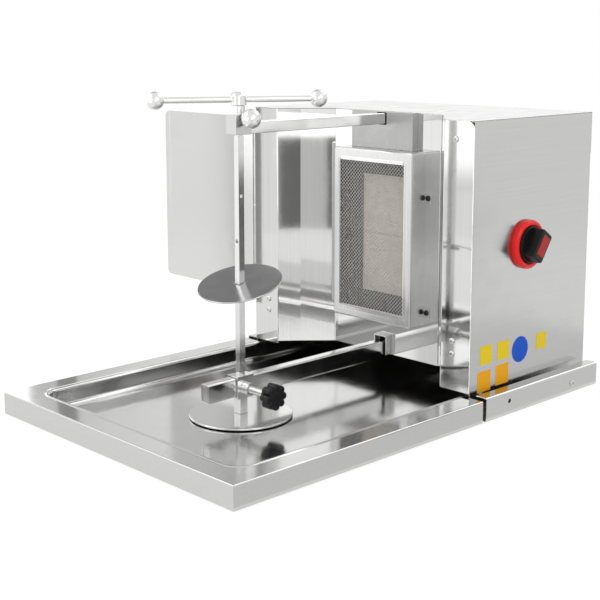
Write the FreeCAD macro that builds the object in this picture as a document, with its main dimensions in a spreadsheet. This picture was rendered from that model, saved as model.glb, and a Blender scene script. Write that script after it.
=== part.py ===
import FreeCAD
import Part
import math
import os
import re
import Sketcher

# Gas doner kebab grill with one burner, hand-turned spit and slide-out drip tray.
# Origin: middle of the housing's footprint, on the surface it stands on.
# +Y points to the back, +Z up, the spit stands in front of the housing at negative Y.

SIZES = [
    ("skin", 1.0, "thickness of the folded sheets"),
    ("housing_width", 330.0, "over both side panels"),
    ("housing_depth", 210.0, "reflector flanges to rear panel"),
    ("housing_height", 310.0, "floor to roof"),
    ("panel_flange", 12.0, "inward folds of the side panels"),
    ("roof_skirt", 45.0, "fold of the top cover over the rear panel"),
    ("base_sheet", 1.2, "thickness of the base plate"),
    ("base_flange", 12.0, "upturned edges of the base plate"),
    ("rail_width", 20.0, "rail beside the housing"),
    ("rail_rise", 2.0, "rail top over the tray rim"),
    ("rail_sheet", 1.2, "rail wall"),
    ("rail_lip", 14.0, "top lip of the rail"),
    ("rail_front_gap", 4.5, "housing front to rail"),
    ("rail_rear_gap", 2.0, "rail to housing back"),
    ("rail_hole", 2.5, "radius of the hole in the rail"),
    ("rail_hole_reach", 44.0, "housing front to rail hole"),
    ("rail_hole_height", 15.0, "floor to rail hole"),
    ("rail_screw_reach", 159.0, "housing front to rail screw"),
    ("rail_screw_height", 11.0, "floor to rail screw"),
    ("tray_reach", 338.0, "housing front to tray front"),
    ("tray_height", 24.0, "floor to tray rim"),
    ("tray_lift", 0.4, "floor to the tray's skirt"),
    ("tray_tail_lift", 2.0, "floor to the tail's skirt"),
    ("tray_gap", 0.6, "tray's wide part to housing front"),
    ("tray_tail_gap", 2.5, "tray tail to side panel"),
    ("tray_rear_gap", 13.0, "tray tail to housing back"),
    ("rim_width", 29.0, "flat rim round the recess"),
    ("recess_floor", 4.0, "floor to the tray's recess"),
    ("recess_round", 18.0, "plan radius of the recess corners"),
    ("recess_rear_gap", 7.8, "recess to the end of the tail"),
    ("flange_width", 39.0, "flat flange of the reflector"),
    ("fold_inset", 17.5, "flange to fold, across"),
    ("fold_depth", 21.0, "flange to fold, back"),
    ("cavity_half", 80.0, "half width of the reflector's back"),
    ("cavity_depth", 52.0, "flange to the reflector's back"),
    ("flange_gap", 3.0, "tray rim to the reflector flanges"),
    ("cavity_rise", 3.0, "reflector flanges to the reflector's middle"),
    ("burner_half", 59.0, "half width of the burner frame"),
    ("burner_low", 72.0, "floor to burner frame"),
    ("burner_drop", 42.0, "roof to burner frame's top"),
    ("frame_reach", 25.0, "burner frame in front of the reflector"),
    ("frame_side", 10.0, "width of the frame's side strips"),
    ("frame_end", 13.0, "width of the frame's end strips"),
    ("mesh_sheet", 0.8, "thickness of the mesh"),
    ("mesh_edge", 4.0, "mesh beyond the frame opening"),
    ("mesh_wire", 1.6, "width of the mesh bars"),
    ("mesh_columns", 8.0, "gaps across the mesh"),
    ("mesh_rows", 14.0, "gaps up the mesh"),
    ("box_margin", 2.0, "burner box beyond the frame opening"),
    ("box_depth", 33.0, "burner box behind the reflector's back"),
    ("tile_recess", 20.0, "mesh to ceramic"),
    ("tile_depth", 13.0, "ceramic tile"),
    ("tile_gap", 0.5, "clearance round the ceramic tiles"),
    ("gasket_depth", 2.0, "gasket in front of the tiles"),
    ("gasket_width", 18.0, "gasket strip"),
    ("hanger_half", 46.0, "half width of the hanger over the burner"),
    ("hanger_inset", 16.0, "burner face to hanger"),
    ("lug_reach", 8.0, "fixing lug beyond the burner frame"),
    ("lug_height", 12.0, "fixing lug height"),
    ("lug_rise", 16.0, "burner frame's bottom to lower lug"),
    ("lug_drop", 51.0, "burner frame's top to upper lug"),
    ("screw_radius", 3.2, "screw heads"),
    ("screw_head", 1.8, "thickness of the screw heads"),
    ("tube_radius", 11.0, "mixing tube outside"),
    ("tube_wall", 1.5, "mixing tube wall"),
    ("tube_rise", 24.0, "burner frame's bottom to the mixing tube's mouth"),
    ("tube_drop", 72.0, "burner frame's top to the mixing tube's elbow"),
    ("injector_radius", 6.0, "injector body"),
    ("injector_length", 22.0, "injector body"),
    ("injector_gap", 4.0, "injector to mixing tube"),
    ("pipe_radius", 4.0, "gas pipes"),
    ("pipe_bend", 14.0, "centre line radius of the inlet pipe's bends"),
    ("thin_bend", 11.2, "centre line radius of the thin pipes' bends"),
    ("inlet_pipe_side", 10.0, "valve's inner end to the inlet pipe"),
    ("burner_pipe_side", 18.2, "valve's inner end to the burner pipe"),
    ("burner_pipe_drop", 15.4, "injector to the burner pipe's level run"),
    ("inlet_side", 100.0, "middle to gas inlet"),
    ("inlet_height", 60.0, "floor to gas inlet"),
    ("inlet_radius", 6.58, "threaded stub of the gas inlet"),
    ("inlet_length", 14.0, "threaded stub of the gas inlet"),
    ("inlet_collar", 10.0, "radius of the inlet collar"),
    ("inlet_collar_length", 6.0, "inlet collar"),
    ("knob_reach", 93.0, "housing front to gas knob"),
    ("knob_height", 174.0, "floor to gas knob"),
    ("valve_half", 11.0, "half width of the valve body"),
    ("valve_half_height", 15.0, "half height of the valve body"),
    ("valve_length", 34.0, "valve body"),
    ("valve_neck", 12.0, "valve body to side panel"),
    ("valve_neck_radius", 6.5, "neck of the valve"),
    ("spindle_radius", 4.0, "valve spindle"),
    ("spindle_out", 14.0, "spindle in front of the panel"),
    ("spindle_in", 32.0, "spindle behind the panel"),
    ("running_gap", 0.05, "radial clearance of running fits"),
    ("push_travel", 3.0, "knob push"),
    ("bezel_radius", 26.5, "red bezel"),
    ("bezel_thick", 7.0, "red bezel"),
    ("bezel_bore", 20.3, "opening of the bezel"),
    ("knob_play", 0.5, "knob hub to the bezel"),
    ("knob_disc", 19.5, "disc of the knob"),
    ("knob_disc_thick", 1.0, "disc of the knob"),
    ("knob_gap", 0.5, "knob disc to bezel"),
    ("grip_half", 9.5, "half width of the knob's grip bar"),
    ("grip_reach", 17.0, "half length of the knob's grip bar"),
    ("grip_out", 13.5, "grip bar"),
    ("grip_turn", 55.0, "degrees from level to the grip bar"),
    ("insert_half", 6.0, "half width of the pointer insert"),
    ("insert_reach", 11.5, "half length of the pointer insert"),
    ("insert_sunk", 1.0, "pointer insert in the grip"),
    ("insert_proud", 0.5, "pointer insert over the grip"),
    ("spit_reach", 169.0, "housing front to spit"),
    ("spit_side", 7.0, "square spit"),
    ("shoulder_gap", 1.3, "bearing head to the end of the spit's square"),
    ("spit_bore_depth", 7.0, "blind bore in the spit's end"),
    ("cross_hole", 2.0, "radius of the cross holes"),
    ("cross_hole_high", 234.0, "floor to the upper cross hole"),
    ("cross_hole_low", 188.0, "floor to the lower cross hole"),
    ("bar_side", 12.0, "lower bar width"),
    ("bar_high", 20.0, "lower bar height"),
    ("bar_wall", 1.5, "lower bar wall"),
    ("bar_gap", 2.5, "tray rim to lower bar"),
    ("bar_reach", 217.0, "housing front to the bar's open end"),
    ("collar_gap", 2.0, "arched collar to the bar"),
    ("collar_wall", 2.0, "collar wall"),
    ("collar_length", 8.0, "collar in front of the reflector"),
    ("collar_rise", 3.0, "reflector flanges to the collar's legs"),
    ("collar_arch", 6.5, "bar top to the collar's top"),
    ("bracket_half", 24.0, "half width of the rear bracket"),
    ("bracket_thick", 3.0, "rear bracket"),
    ("bracket_high", 62.0, "rear bracket's top"),
    ("sleeve_gap", 0.3, "carriage sleeve to bar"),
    ("sleeve_wall", 1.6, "carriage sleeve wall"),
    ("sleeve_length", 22.0, "carriage sleeve"),
    ("stud_radius", 4.0, "clamp stud"),
    ("stud_rise", 8.5, "bar bottom to clamp stud"),
    ("stud_touch", 0.05, "stud tip to bar"),
    ("nut_radius", 7.0, "welded nut on the sleeve"),
    ("nut_length", 8.0, "welded nut"),
    ("star_reach", 50.0, "middle to star knob"),
    ("star_thick", 13.0, "star knob"),
    ("star_core", 10.0, "star knob core radius"),
    ("star_ring", 9.6, "radius through the lobes"),
    ("star_lobe", 4.1, "lobe radius"),
    ("star_lobes", 8.0, "number of lobes"),
    ("star_neck", 6.5, "neck of the star knob"),
    ("star_neck_length", 5.0, "neck of the star knob"),
    ("post_side", 10.0, "foot post"),
    ("disc_radius", 44.0, "meat disc"),
    ("foot_radius", 54.0, "foot disc"),
    ("foot_thick", 2.0, "foot disc"),
    ("foot_gap", 1.0, "foot disc over the recess"),
    ("pivot_radius", 4.5, "base of the pivot stud"),
    ("pivot_base_height", 2.6, "base of the pivot stud"),
    ("pivot_pin", 2.0, "pin of the pivot stud"),
    ("pivot_gap", 0.3, "spit end to pivot base"),
    ("meat_thick", 1.5, "meat disc"),
    ("meat_height", 144.0, "floor to the meat disc's centre"),
    ("meat_hole_gap", 1.4, "spit to the square hole of the meat disc"),
    ("meat_lean", 15.6, "degrees the disc leans to the front"),
    ("meat_roll", 4.4, "degrees the disc leans to the right"),
    ("stop_radius", 1.8, "cross pin under the meat disc"),
    ("stop_half", 13.0, "half length of the cross pin"),
    ("stop_drop", 4.6, "disc centre to cross pin"),
    ("arm_side", 12.0, "upper arm"),
    ("arm_wall", 1.5, "upper arm wall"),
    ("arm_gap", 0.6, "upper arm to roof"),
    ("arm_tail", 110.0, "housing front to the arm's rear end"),
    ("head_half", 8.0, "half width of the bearing head"),
    ("head_length", 20.0, "bearing head"),
    ("head_drop", 0.1, "bearing head below the arm"),
    ("head_rise", 7.6, "bearing head over the arm"),
    ("guide_gap", 0.3, "upper arm to its guide"),
    ("guide_wall", 1.5, "arm guide"),
    ("guide_lip", 9.0, "welding lips of the guide"),
    ("guide_start", 57.0, "housing front to guide"),
    ("guide_length", 40.0, "arm guide"),
    ("hub_radius", 8.25, "handle hub"),
    ("hub_neck", 6.6, "neck of the handle hub"),
    ("hub_gap", 2.0, "bearing head to the hub's neck"),
    ("hub_neck_length", 7.0, "neck of the handle hub"),
    ("hub_length", 10.0, "body of the handle hub"),
    ("hub_dome", 4.0, "height of the dome"),
    ("handle_rise", 6.0, "hub's neck to the handle bar"),
    ("handle_half", 84.0, "middle to ball centre"),
    ("handle_radius", 3.0, "handle bar"),
    ("handle_ball", 9.0, "handle balls"),
    ("handle_turn", 63.0, "degrees from +X to the handle bar"),
    ("lock_reach", 19.0, "middle to the lock knob's ball"),
    ("lock_drop", 3.5, "bearing head's top to the lock knob"),
    ("lock_ball", 10.0, "radius of the lock knob's ball"),
    ("lock_stem", 2.5, "stem of the lock knob"),
    ("lock_sunk", 2.5, "stem in the head"),
    ("wing_length", 167.5, "hinge axis to the wing's edge"),
    ("wing_low", 84.0, "floor to wing"),
    ("wing_drop", 12.0, "roof to the wing's top"),
    ("wing_strip", 24.5, "strip between hinge and fold"),
    ("wing_jog", 2.5, "fold brings the wing forward"),
    ("hinge_out", 4.5, "panel to hinge axis"),
    ("hinge_back", 3.5, "housing front to hinge axis"),
    ("knuckle_moving", 2.5, "knuckles on the wing"),
    ("knuckle_fixed", 2.2, "knuckles on the housing"),
    ("hinge_pin", 1.2, "hinge pin radius"),
    ("hinge_inset", 1.5, "wing's ends to the hinges"),
    ("hinge_length", 105.0, "hinge"),
    ("knuckle_length", 34.7, "each knuckle"),
    ("leaf_length", 22.0, "hinge leaf"),
    ("leaf_sheet", 1.3, "hinge leaf on the housing"),
    ("patch_sheet", 0.2, "coloured patches"),
    ("probe_radius", 1.5, "thermocouple"),
    ("probe_side", 54.5, "middle to thermocouple"),
    ("probe_height", 100.0, "floor to thermocouple"),
    ("probe_tip", 19.0, "thermocouple in front of the reflector"),
    ("probe_straight", 16.5, "thermocouple behind the reflector"),
    ("probe_bend_back", 23.1, "reflector to the thermocouple's rising run"),
    ("probe_rise", 22.4, "valve to the thermocouple's high run"),
    ("probe_fall", 2.8, "fall of the thermocouple's high run"),
    ("roof_vent_width", 4.0, "slots in the roof"),
    ("roof_vent_length", 24.0, "slots in the roof"),
    ("roof_vent_reach", 99.7, "housing front to the slots' middle"),
    ("rear_vent_side", 64.0, "middle to the slots in the rear panel"),
    ("rear_vent_length", 54.0, "slots in the rear panel"),
    ("rear_vent_height", 4.0, "slots in the rear panel"),
    ("rear_vent_pitch", 12.0, "from slot to slot in the rear panel"),
    ("rear_vent_drop", 135.0, "ceiling to the lowest slot in the rear panel"),
    ("rear_vent_rows", 5.0, "slots above each other in the rear panel"),
    ("flange_screw_inset", 23.4, "panel to the screws in the reflector"),
    ("flange_screw_low", 66.0, "floor to the lowest reflector screw"),
    ("flange_screw_next", 13.5, "lowest reflector screw to the next"),
    ("flange_screw_drop", 20.0, "roof to the top reflector screw"),
    ("rear_screw_low", 30.0, "floor to the lowest rear screw"),
    ("rear_screw_drop", 60.0, "roof to the top rear screw"),
    ("round_patch_radius", 14.25, "round patch"),
    ("round_patch_reach", 87.0, "housing front to the round patch"),
    ("round_patch_height", 59.4, "floor to the round patch"),
]

# Middle to the slots in the roof.
ROOF_VENTS = (-53, -35, 30, 48)

# Each square patch: housing front to its middle, floor to its middle, half its side.
YELLOW_PATCHES = ((27.5, 64, 10), (57, 64, 10), (126, 62.5, 9))
ORANGE_PATCHES = ((25, 36, 11), (56, 38, 11))

doc = FreeCAD.newDocument("doner_grill")
sizes = doc.addObject("Spreadsheet::Sheet", "sizes")
for row, (alias, number, meaning) in enumerate(SIZES, start=1):
    sizes.set(f"A{row}", meaning)
    sizes.set(f"B{row}", str(number))
    sizes.setAlias(f"B{row}", alias)
doc.recompute()

FUNCTIONS = {"sin", "cos", "tan", "atan", "deg"}

# Places that several pieces share, written in the aliases of the sheet.
SIDE = "housing_width / 2"
FRONT = "(-housing_depth / 2)"
BACK = "housing_depth / 2"
CEILING = "(housing_height - skin)"
INNER = "(housing_width / 2 - skin)"
CAVITY = "(cavity_depth - housing_depth / 2)"
BURNER_TOP = "(housing_height - burner_drop)"
BURNER_FACE = "(cavity_depth - housing_depth / 2 - frame_reach)"
MESH_FRONT = "(cavity_depth - housing_depth / 2 - frame_reach + skin)"
OPENING_HALF = "(burner_half - frame_side)"
OPENING_LOW = "(burner_low + frame_end)"
OPENING_HIGH = "(housing_height - burner_drop - frame_end)"
BOX_HALF = "(burner_half - frame_side + box_margin)"
BOX_LOW = "(burner_low + frame_end - box_margin)"
BOX_HIGH = "(housing_height - burner_drop - frame_end + box_margin)"
BOX_BACK = "(cavity_depth - housing_depth / 2 + box_depth)"
TILE_FRONT = f"({MESH_FRONT} + mesh_sheet + tile_recess)"
TUBE_Y = f"({BOX_BACK} + tube_radius + 2 * tube_wall)"
TUBE_LOW = "(burner_low + tube_rise)"
TUBE_HIGH = f"({BURNER_TOP} - tube_drop)"
KNOB_Y = "(knob_reach - housing_depth / 2)"
SPIT_Y = "(-housing_depth / 2 - spit_reach)"
TRAY_HALF = "(housing_width / 2 + rail_width)"
RAIL_TOP = "(tray_height + rail_rise)"
FLANGE_LOW = "(tray_height + flange_gap)"
BAR_LOW = "(tray_height + bar_gap)"
BAR_TOP = "(tray_height + bar_gap + bar_high)"
STUD_Z = f"({BAR_LOW} + stud_rise)"
COLLAR_TOP = f"({BAR_TOP} + collar_arch)"
SLEEVE_HALF = "(bar_side / 2 + sleeve_gap + sleeve_wall)"
SLEEVE_TOP = f"({BAR_TOP} + sleeve_gap + sleeve_wall)"
SLEEVE_BOTTOM = f"({BAR_LOW} - sleeve_gap - sleeve_wall)"
SPIT_LOW = f"({SLEEVE_TOP} + pivot_base_height + pivot_gap)"
ARM_TOP = "(housing_height - skin - arm_gap)"
ARM_BOTTOM = "(housing_height - skin - arm_gap - arm_side)"
HEAD_LOW = f"({ARM_BOTTOM} - head_drop)"
HEAD_TOP = f"({ARM_TOP} + head_rise)"
SHOULDER = f"({HEAD_LOW} - shoulder_gap)"
HUB_LOW = f"({HEAD_TOP} + hub_gap)"
HUB_SHOULDER = f"({HUB_LOW} + hub_neck_length)"
HUB_TOP = f"({HUB_SHOULDER} + hub_length)"
HANDLE_Z = f"({HUB_SHOULDER} + handle_rise)"
WING_TOP = "(housing_height - wing_drop)"
HINGE_X = "(-housing_width / 2 - hinge_out)"
HINGE_Y = "(hinge_back - housing_depth / 2)"
TAIL_HALF = "(housing_width / 2 - skin - tray_tail_gap)"
TAIL_END = "(housing_depth / 2 - tray_rear_gap)"
TRAY_FRONT = "(-housing_depth / 2 - tray_reach)"
TRAY_BACK = "(-housing_depth / 2 - tray_gap)"

nodes = {}


def size(alias):
    """Number of one named size, in millimetres or degrees."""
    return float(sizes.get(alias))


def formula(text):
    """Expression with each alias read from the sheet."""
    def from_sheet(found):
        word = found.group()
        if word in FUNCTIONS:
            return word
        return "sizes." + word
    return re.sub(r"[a-z][a-z_]*", from_sheet, str(text))


def bind(thing, name, text):
    thing.setExpression(name, formula(text))


def place(thing, x, y, z):
    """Binds the three coordinates of a placement."""
    for axis, text in zip("xyz", (x, y, z)):
        bind(thing, "Placement.Base." + axis, text)


def both(half):
    """Limits on either side of the middle."""
    return (f"-({half})", f"{half}")


def block(name, x, y, z):
    """Box between a low and a high limit on each axis."""
    box = doc.addObject("Part::Box", name)
    for side, (low, high) in zip(("Length", "Width", "Height"), (x, y, z)):
        bind(box, side, f"({high}) - ({low})")
    place(box, x[0], y[0], z[0])
    return box


TURNS = {
    "X": FreeCAD.Rotation(FreeCAD.Vector(0, 1, 0), 90),
    "Y": FreeCAD.Rotation(FreeCAD.Vector(1, 0, 0), -90),
    "Z": FreeCAD.Rotation(),
}


def rod(name, axis, start, end, across, radius):
    """Cylinder along an axis from start to end, centred at the two other coordinates."""
    bar = doc.addObject("Part::Cylinder", name)
    bar.Placement = FreeCAD.Placement(FreeCAD.Vector(), TURNS[axis])
    bind(bar, "Radius", radius)
    bind(bar, "Height", f"({end}) - ({start})")
    spots = list(across)
    spots.insert("XYZ".index(axis), start)
    place(bar, *spots)
    return bar


def grip_block(name, x, along, across):
    """Box on the gas knob's axis, turned with the grip, between limits along and across the grip."""
    box = doc.addObject("Part::Box", name)
    turn = FreeCAD.Rotation(FreeCAD.Vector(1, 0, 0), size("grip_turn"))
    box.Placement = FreeCAD.Placement(FreeCAD.Vector(), turn)
    for side, (low, high) in zip(("Length", "Width", "Height"), (x, along, across)):
        bind(box, side, f"({high}) - ({low})")
    angle = "grip_turn * 1 deg"
    y = f"{KNOB_Y} + ({along[0]}) * cos({angle}) - ({across[0]}) * sin({angle})"
    z = f"knob_height + ({along[0]}) * sin({angle}) + ({across[0]}) * cos({angle})"
    place(box, x[0], y, z)
    return box


def ball(name, centre, radius):
    sphere = doc.addObject("Part::Sphere", name)
    bind(sphere, "Radius", radius)
    place(sphere, *centre)
    return sphere


def join(name, *pieces):
    """One solid from pieces that meet."""
    fusion = doc.addObject("Part::MultiFuse", name)
    fusion.Shapes = list(pieces)
    fusion.Refine = True
    return fusion


def cut(name, base, *tools):
    """Base without the tools."""
    tool = tools[0]
    if len(tools) > 1:
        tool = join(name + "_tools", *tools)
    left = doc.addObject("Part::Cut", name)
    left.Base = base
    left.Tool = tool
    left.Refine = True
    return left


def group(name, *pieces):
    """Alike pieces that stay separate solids."""
    together = doc.addObject("Part::Compound", name)
    together.Links = list(pieces)
    return together


def mirror(name, source):
    """Copy on the other side of the middle."""
    copy = doc.addObject("Part::Mirroring", name)
    copy.Source = source
    copy.Normal = FreeCAD.Vector(1, 0, 0)
    return copy


def keep(name, thing):
    """Makes a finished piece a node of the grill."""
    thing.Label = name
    nodes[name] = thing
    return thing


def profile(name, points, z, rounding=""):
    """Upright prism over a plan outline, between two heights, with its upright edges rounded if asked."""
    body = doc.addObject("PartDesign::Body", name)
    sketch = body.newObject("Sketcher::SketchObject", name + "_plan")
    plane = [part for part in body.Origin.OriginFeatures if part.Role == "XY_Plane"][0]
    sketch.AttachmentSupport = [(plane, "")]
    sketch.MapMode = "FlatFace"
    sketch.setExpression("AttachmentOffset.Base.z", formula(z[0]))
    count = len(points)
    ring = []
    for index in range(count):
        turn = 2 * math.pi * (index + 0.3) / count
        ring.append(FreeCAD.Vector(30 * math.cos(turn), 30 * math.sin(turn), 0))
    for index in range(count):
        sketch.addGeometry(Part.LineSegment(ring[index], ring[(index + 1) % count]))
    for index in range(count):
        sketch.addConstraint(Sketcher.Constraint("Coincident", index, 2, (index + 1) % count, 1))
    for index, corner in enumerate(points):
        guesses = (ring[index].x, ring[index].y)
        for kind, guess, text in zip(("DistanceX", "DistanceY"), guesses, corner):
            spot = sketch.addConstraint(Sketcher.Constraint(kind, -1, 1, index, 1, guess))
            sketch.setExpression(f"Constraints[{spot}]", formula(text))
    pad = body.newObject("PartDesign::Pad", name + "_pad")
    pad.Profile = sketch
    pad.setExpression("Length", formula(f"({z[1]}) - ({z[0]})"))
    body.Tip = pad
    if rounding:
        doc.recompute()
        rounded = body.newObject("PartDesign::Fillet", name + "_round")
        rounded.Base = (pad, upright_edges(pad.Shape))
        rounded.setExpression("Radius", formula(rounding))
        body.Tip = rounded
    return body


def upright_edges(shape):
    """Names of the vertical edges of a prism."""
    found = []
    for number, edge in enumerate(shape.Edges, start=1):
        ends = [vertex.Point for vertex in edge.Vertexes]
        if abs(ends[0].z - ends[-1].z) > size("skin"):
            found.append(f"Edge{number}")
    return found


def bent_pipe(name, route, radius, bend):
    """Round bar along straight runs joined by tangent arcs."""
    corners = [FreeCAD.Vector(*point) for point in route]
    edges = []
    here = corners[0]
    for before, corner, after in zip(corners, corners[1:], corners[2:]):
        back = (before - corner).normalize()
        ahead = (after - corner).normalize()
        half_turn = (math.pi - back.getAngle(ahead)) / 2
        trim = bend * math.tan(half_turn)
        arc_start = corner + back * trim
        arc_end = corner + ahead * trim
        toward = (back + ahead).normalize()
        middle = corner + toward * (bend / math.cos(half_turn) - bend)
        edges.append(Part.LineSegment(here, arc_start).toShape())
        edges.append(Part.Arc(arc_start, middle, arc_end).toShape())
        here = arc_end
    edges.append(Part.LineSegment(here, corners[-1]).toShape())
    spine = Part.Wire(edges)
    ring = Part.Wire(Part.makeCircle(radius, corners[0], corners[1] - corners[0]))
    pipe = doc.addObject("Part::Feature", name)
    pipe.Shape = spine.makePipeShell([ring], True, False)
    return pipe


# Housing shells

def build_base_plate():
    y = (f"{FRONT} + skin", f"{BACK} - 2 * skin")
    floor = block("base_floor", both(INNER), y, ("0", "base_sheet"))
    edge = block("base_edge", (f"{INNER} - skin", INNER), y, ("0", "base_flange"))
    other = mirror("base_edge_left", edge)
    keep("base_plate", join("base_plate", floor, edge, other))


def build_rail():
    y = (f"{FRONT} + rail_front_gap", f"{BACK} - rail_rear_gap")
    outer = f"{SIDE} + rail_width"
    wall = block("rail_wall", (f"{outer} - rail_sheet", outer), y, ("0", RAIL_TOP))
    foot = block("rail_foot", (SIDE, outer), y, ("0", "rail_sheet"))
    lip = block("rail_top", (f"{outer} - rail_lip", outer), y, (f"{RAIL_TOP} - rail_sheet", RAIL_TOP))
    hole = rod("rail_hole_bore", "X", f"{SIDE} + rail_lip / 2", f"{outer} + skin",
               (f"{FRONT} + rail_hole_reach", "rail_hole_height"), "rail_hole")
    right = keep("side_rail_right", cut("side_rail_right", join("rail_bent", wall, foot, lip), hole))
    keep("side_rail_left", mirror("side_rail_left", right))


def panel_shell(name):
    """Right side panel with its rear and top folds."""
    wall = block(name + "_wall", (INNER, SIDE), (f"{FRONT} + skin", BACK), ("0", CEILING))
    fold = (f"{INNER} - panel_flange", INNER)
    rear = block(name + "_rear", fold, (f"{BACK} - 2 * skin", f"{BACK} - skin"), ("0", CEILING))
    top = block(name + "_top", fold, (f"{FRONT} + skin", f"{BACK} - 2 * skin"),
                (f"{CEILING} - skin", CEILING))
    return join(name + "_shell", wall, rear, top)


def build_side_panels():
    opening = rod("panel_opening", "X", f"{INNER} - skin", f"{SIDE} + skin", (KNOB_Y, "knob_height"),
                  "valve_neck_radius")
    keep("side_panel_right", cut("side_panel_right", panel_shell("right_panel"), opening))
    keep("side_panel_left", mirror("side_panel_left", panel_shell("left_panel")))


def build_rear_panel():
    y = (f"{BACK} - skin", BACK)
    sheet = block("rear_sheet", both(INNER), y, ("0", CEILING))
    through = (f"{BACK} - 2 * skin", f"{BACK} + skin")
    openings = [rod("rear_gas_hole", "Y", *through, ("inlet_side", "inlet_height"), "inlet_radius")]
    for row in range(int(size("rear_vent_rows"))):
        low = f"({CEILING} - rear_vent_drop + {row} * rear_vent_pitch)"
        z = (low, f"{low} + rear_vent_height")
        for side, middle in (("left", "-rear_vent_side"), ("right", "rear_vent_side")):
            x = (f"{middle} - rear_vent_length / 2", f"{middle} + rear_vent_length / 2")
            openings.append(block(f"rear_vent_{side}_{row}", x, through, z))
    keep("rear_panel", cut("rear_panel", sheet, *openings))


def cavity_front():
    """Front line of the reflector in plan, from the left edge to the right edge."""
    half = [
        (SIDE, FRONT),
        (f"({SIDE} - flange_width)", FRONT),
        (f"({SIDE} - flange_width - fold_inset)", f"({FRONT} + fold_depth)"),
        ("cavity_half", CAVITY),
    ]
    left = [(f"-{x}" if x.startswith("(") else f"-({x})", y) for x, y in half]
    return left + half[::-1]


def cavity_back():
    """Rear line of the reflector in plan: the front line moved back by the sheet's thickness."""
    first = "atan(fold_depth / fold_inset)"
    second = (f"atan((cavity_depth - fold_depth) / ({SIDE} - flange_width - fold_inset - cavity_half))")
    middle = f"(({first}) + ({second})) / 2"
    half = [
        (SIDE, f"({FRONT} + skin)"),
        (f"({SIDE} - flange_width + skin * tan({first} / 2))", f"({FRONT} + skin)"),
        (f"({SIDE} - flange_width - fold_inset + skin * sin({middle}))",
         f"({FRONT} + fold_depth + skin * cos({middle}))"),
        (f"(cavity_half + skin * tan({second} / 2))", f"({CAVITY} + skin)"),
    ]
    left = [(f"-({x})", y) for x, y in half]
    return left + half[::-1]


def build_top_cover():
    plan = cavity_front() + [(SIDE, f"{BACK} + skin"), (f"-({SIDE})", f"{BACK} + skin")]
    roof = profile("roof_sheet", plan, (CEILING, "housing_height"))
    skirt = block("roof_skirt_sheet", both(SIDE), (BACK, f"{BACK} + skin"),
                  (f"{CEILING} - roof_skirt", CEILING))
    middle = f"({FRONT} + roof_vent_reach)"
    y = (f"{middle} - roof_vent_length / 2", f"{middle} + roof_vent_length / 2")
    z = (f"{CEILING} - skin", "housing_height + skin")
    vents = []
    for number, spot in enumerate(ROOF_VENTS):
        x = (f"{spot} - roof_vent_width / 2", f"{spot} + roof_vent_width / 2")
        vents.append(block(f"roof_vent_{number}", x, y, z))
    keep("top_cover", cut("top_cover", join("roof_bent", roof, skirt), *vents))


def build_reflector():
    sheet = profile("reflector_sheet", cavity_front() + cavity_back()[::-1], (FLANGE_LOW, CEILING))
    inside = f"{SIDE} - flange_width"
    through = (f"{CAVITY} - skin", f"{CAVITY} + 2 * skin")
    relief = block("reflector_relief", both(inside), (FRONT, f"{CAVITY} + 2 * skin"),
                   (f"{FLANGE_LOW} - skin", f"{FLANGE_LOW} + cavity_rise"))
    window = block("reflector_window", both(BOX_HALF), through, (BOX_LOW, BOX_HIGH))
    bar_way = block("reflector_bar_way", both("bar_side / 2 + collar_gap"), through,
                    (f"{FLANGE_LOW} - skin", f"{COLLAR_TOP} - collar_wall"))
    arm_way = block("reflector_arm_way", both("arm_side / 2 + skin"), through,
                    (f"{ARM_BOTTOM} - skin", "housing_height"))
    probe_way = rod("reflector_probe_way", "Y", *through, ("probe_side", "probe_height"), "2 * probe_radius")
    keep("reflector", cut("reflector", sheet, relief, window, bar_way, arm_way, probe_way))


def build_bar_collar():
    y = (f"{CAVITY} - collar_length", CAVITY)
    outer = block("collar_outer", both("bar_side / 2 + collar_gap + collar_wall"), y,
                  (f"{FLANGE_LOW} + collar_rise", COLLAR_TOP))
    way = block("collar_way", both("bar_side / 2 + collar_gap"),
                (f"{CAVITY} - 2 * collar_length", f"{CAVITY} + skin"),
                (FLANGE_LOW, f"{COLLAR_TOP} - collar_wall"))
    keep("bar_collar", cut("bar_collar", outer, way))


# Burner

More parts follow.
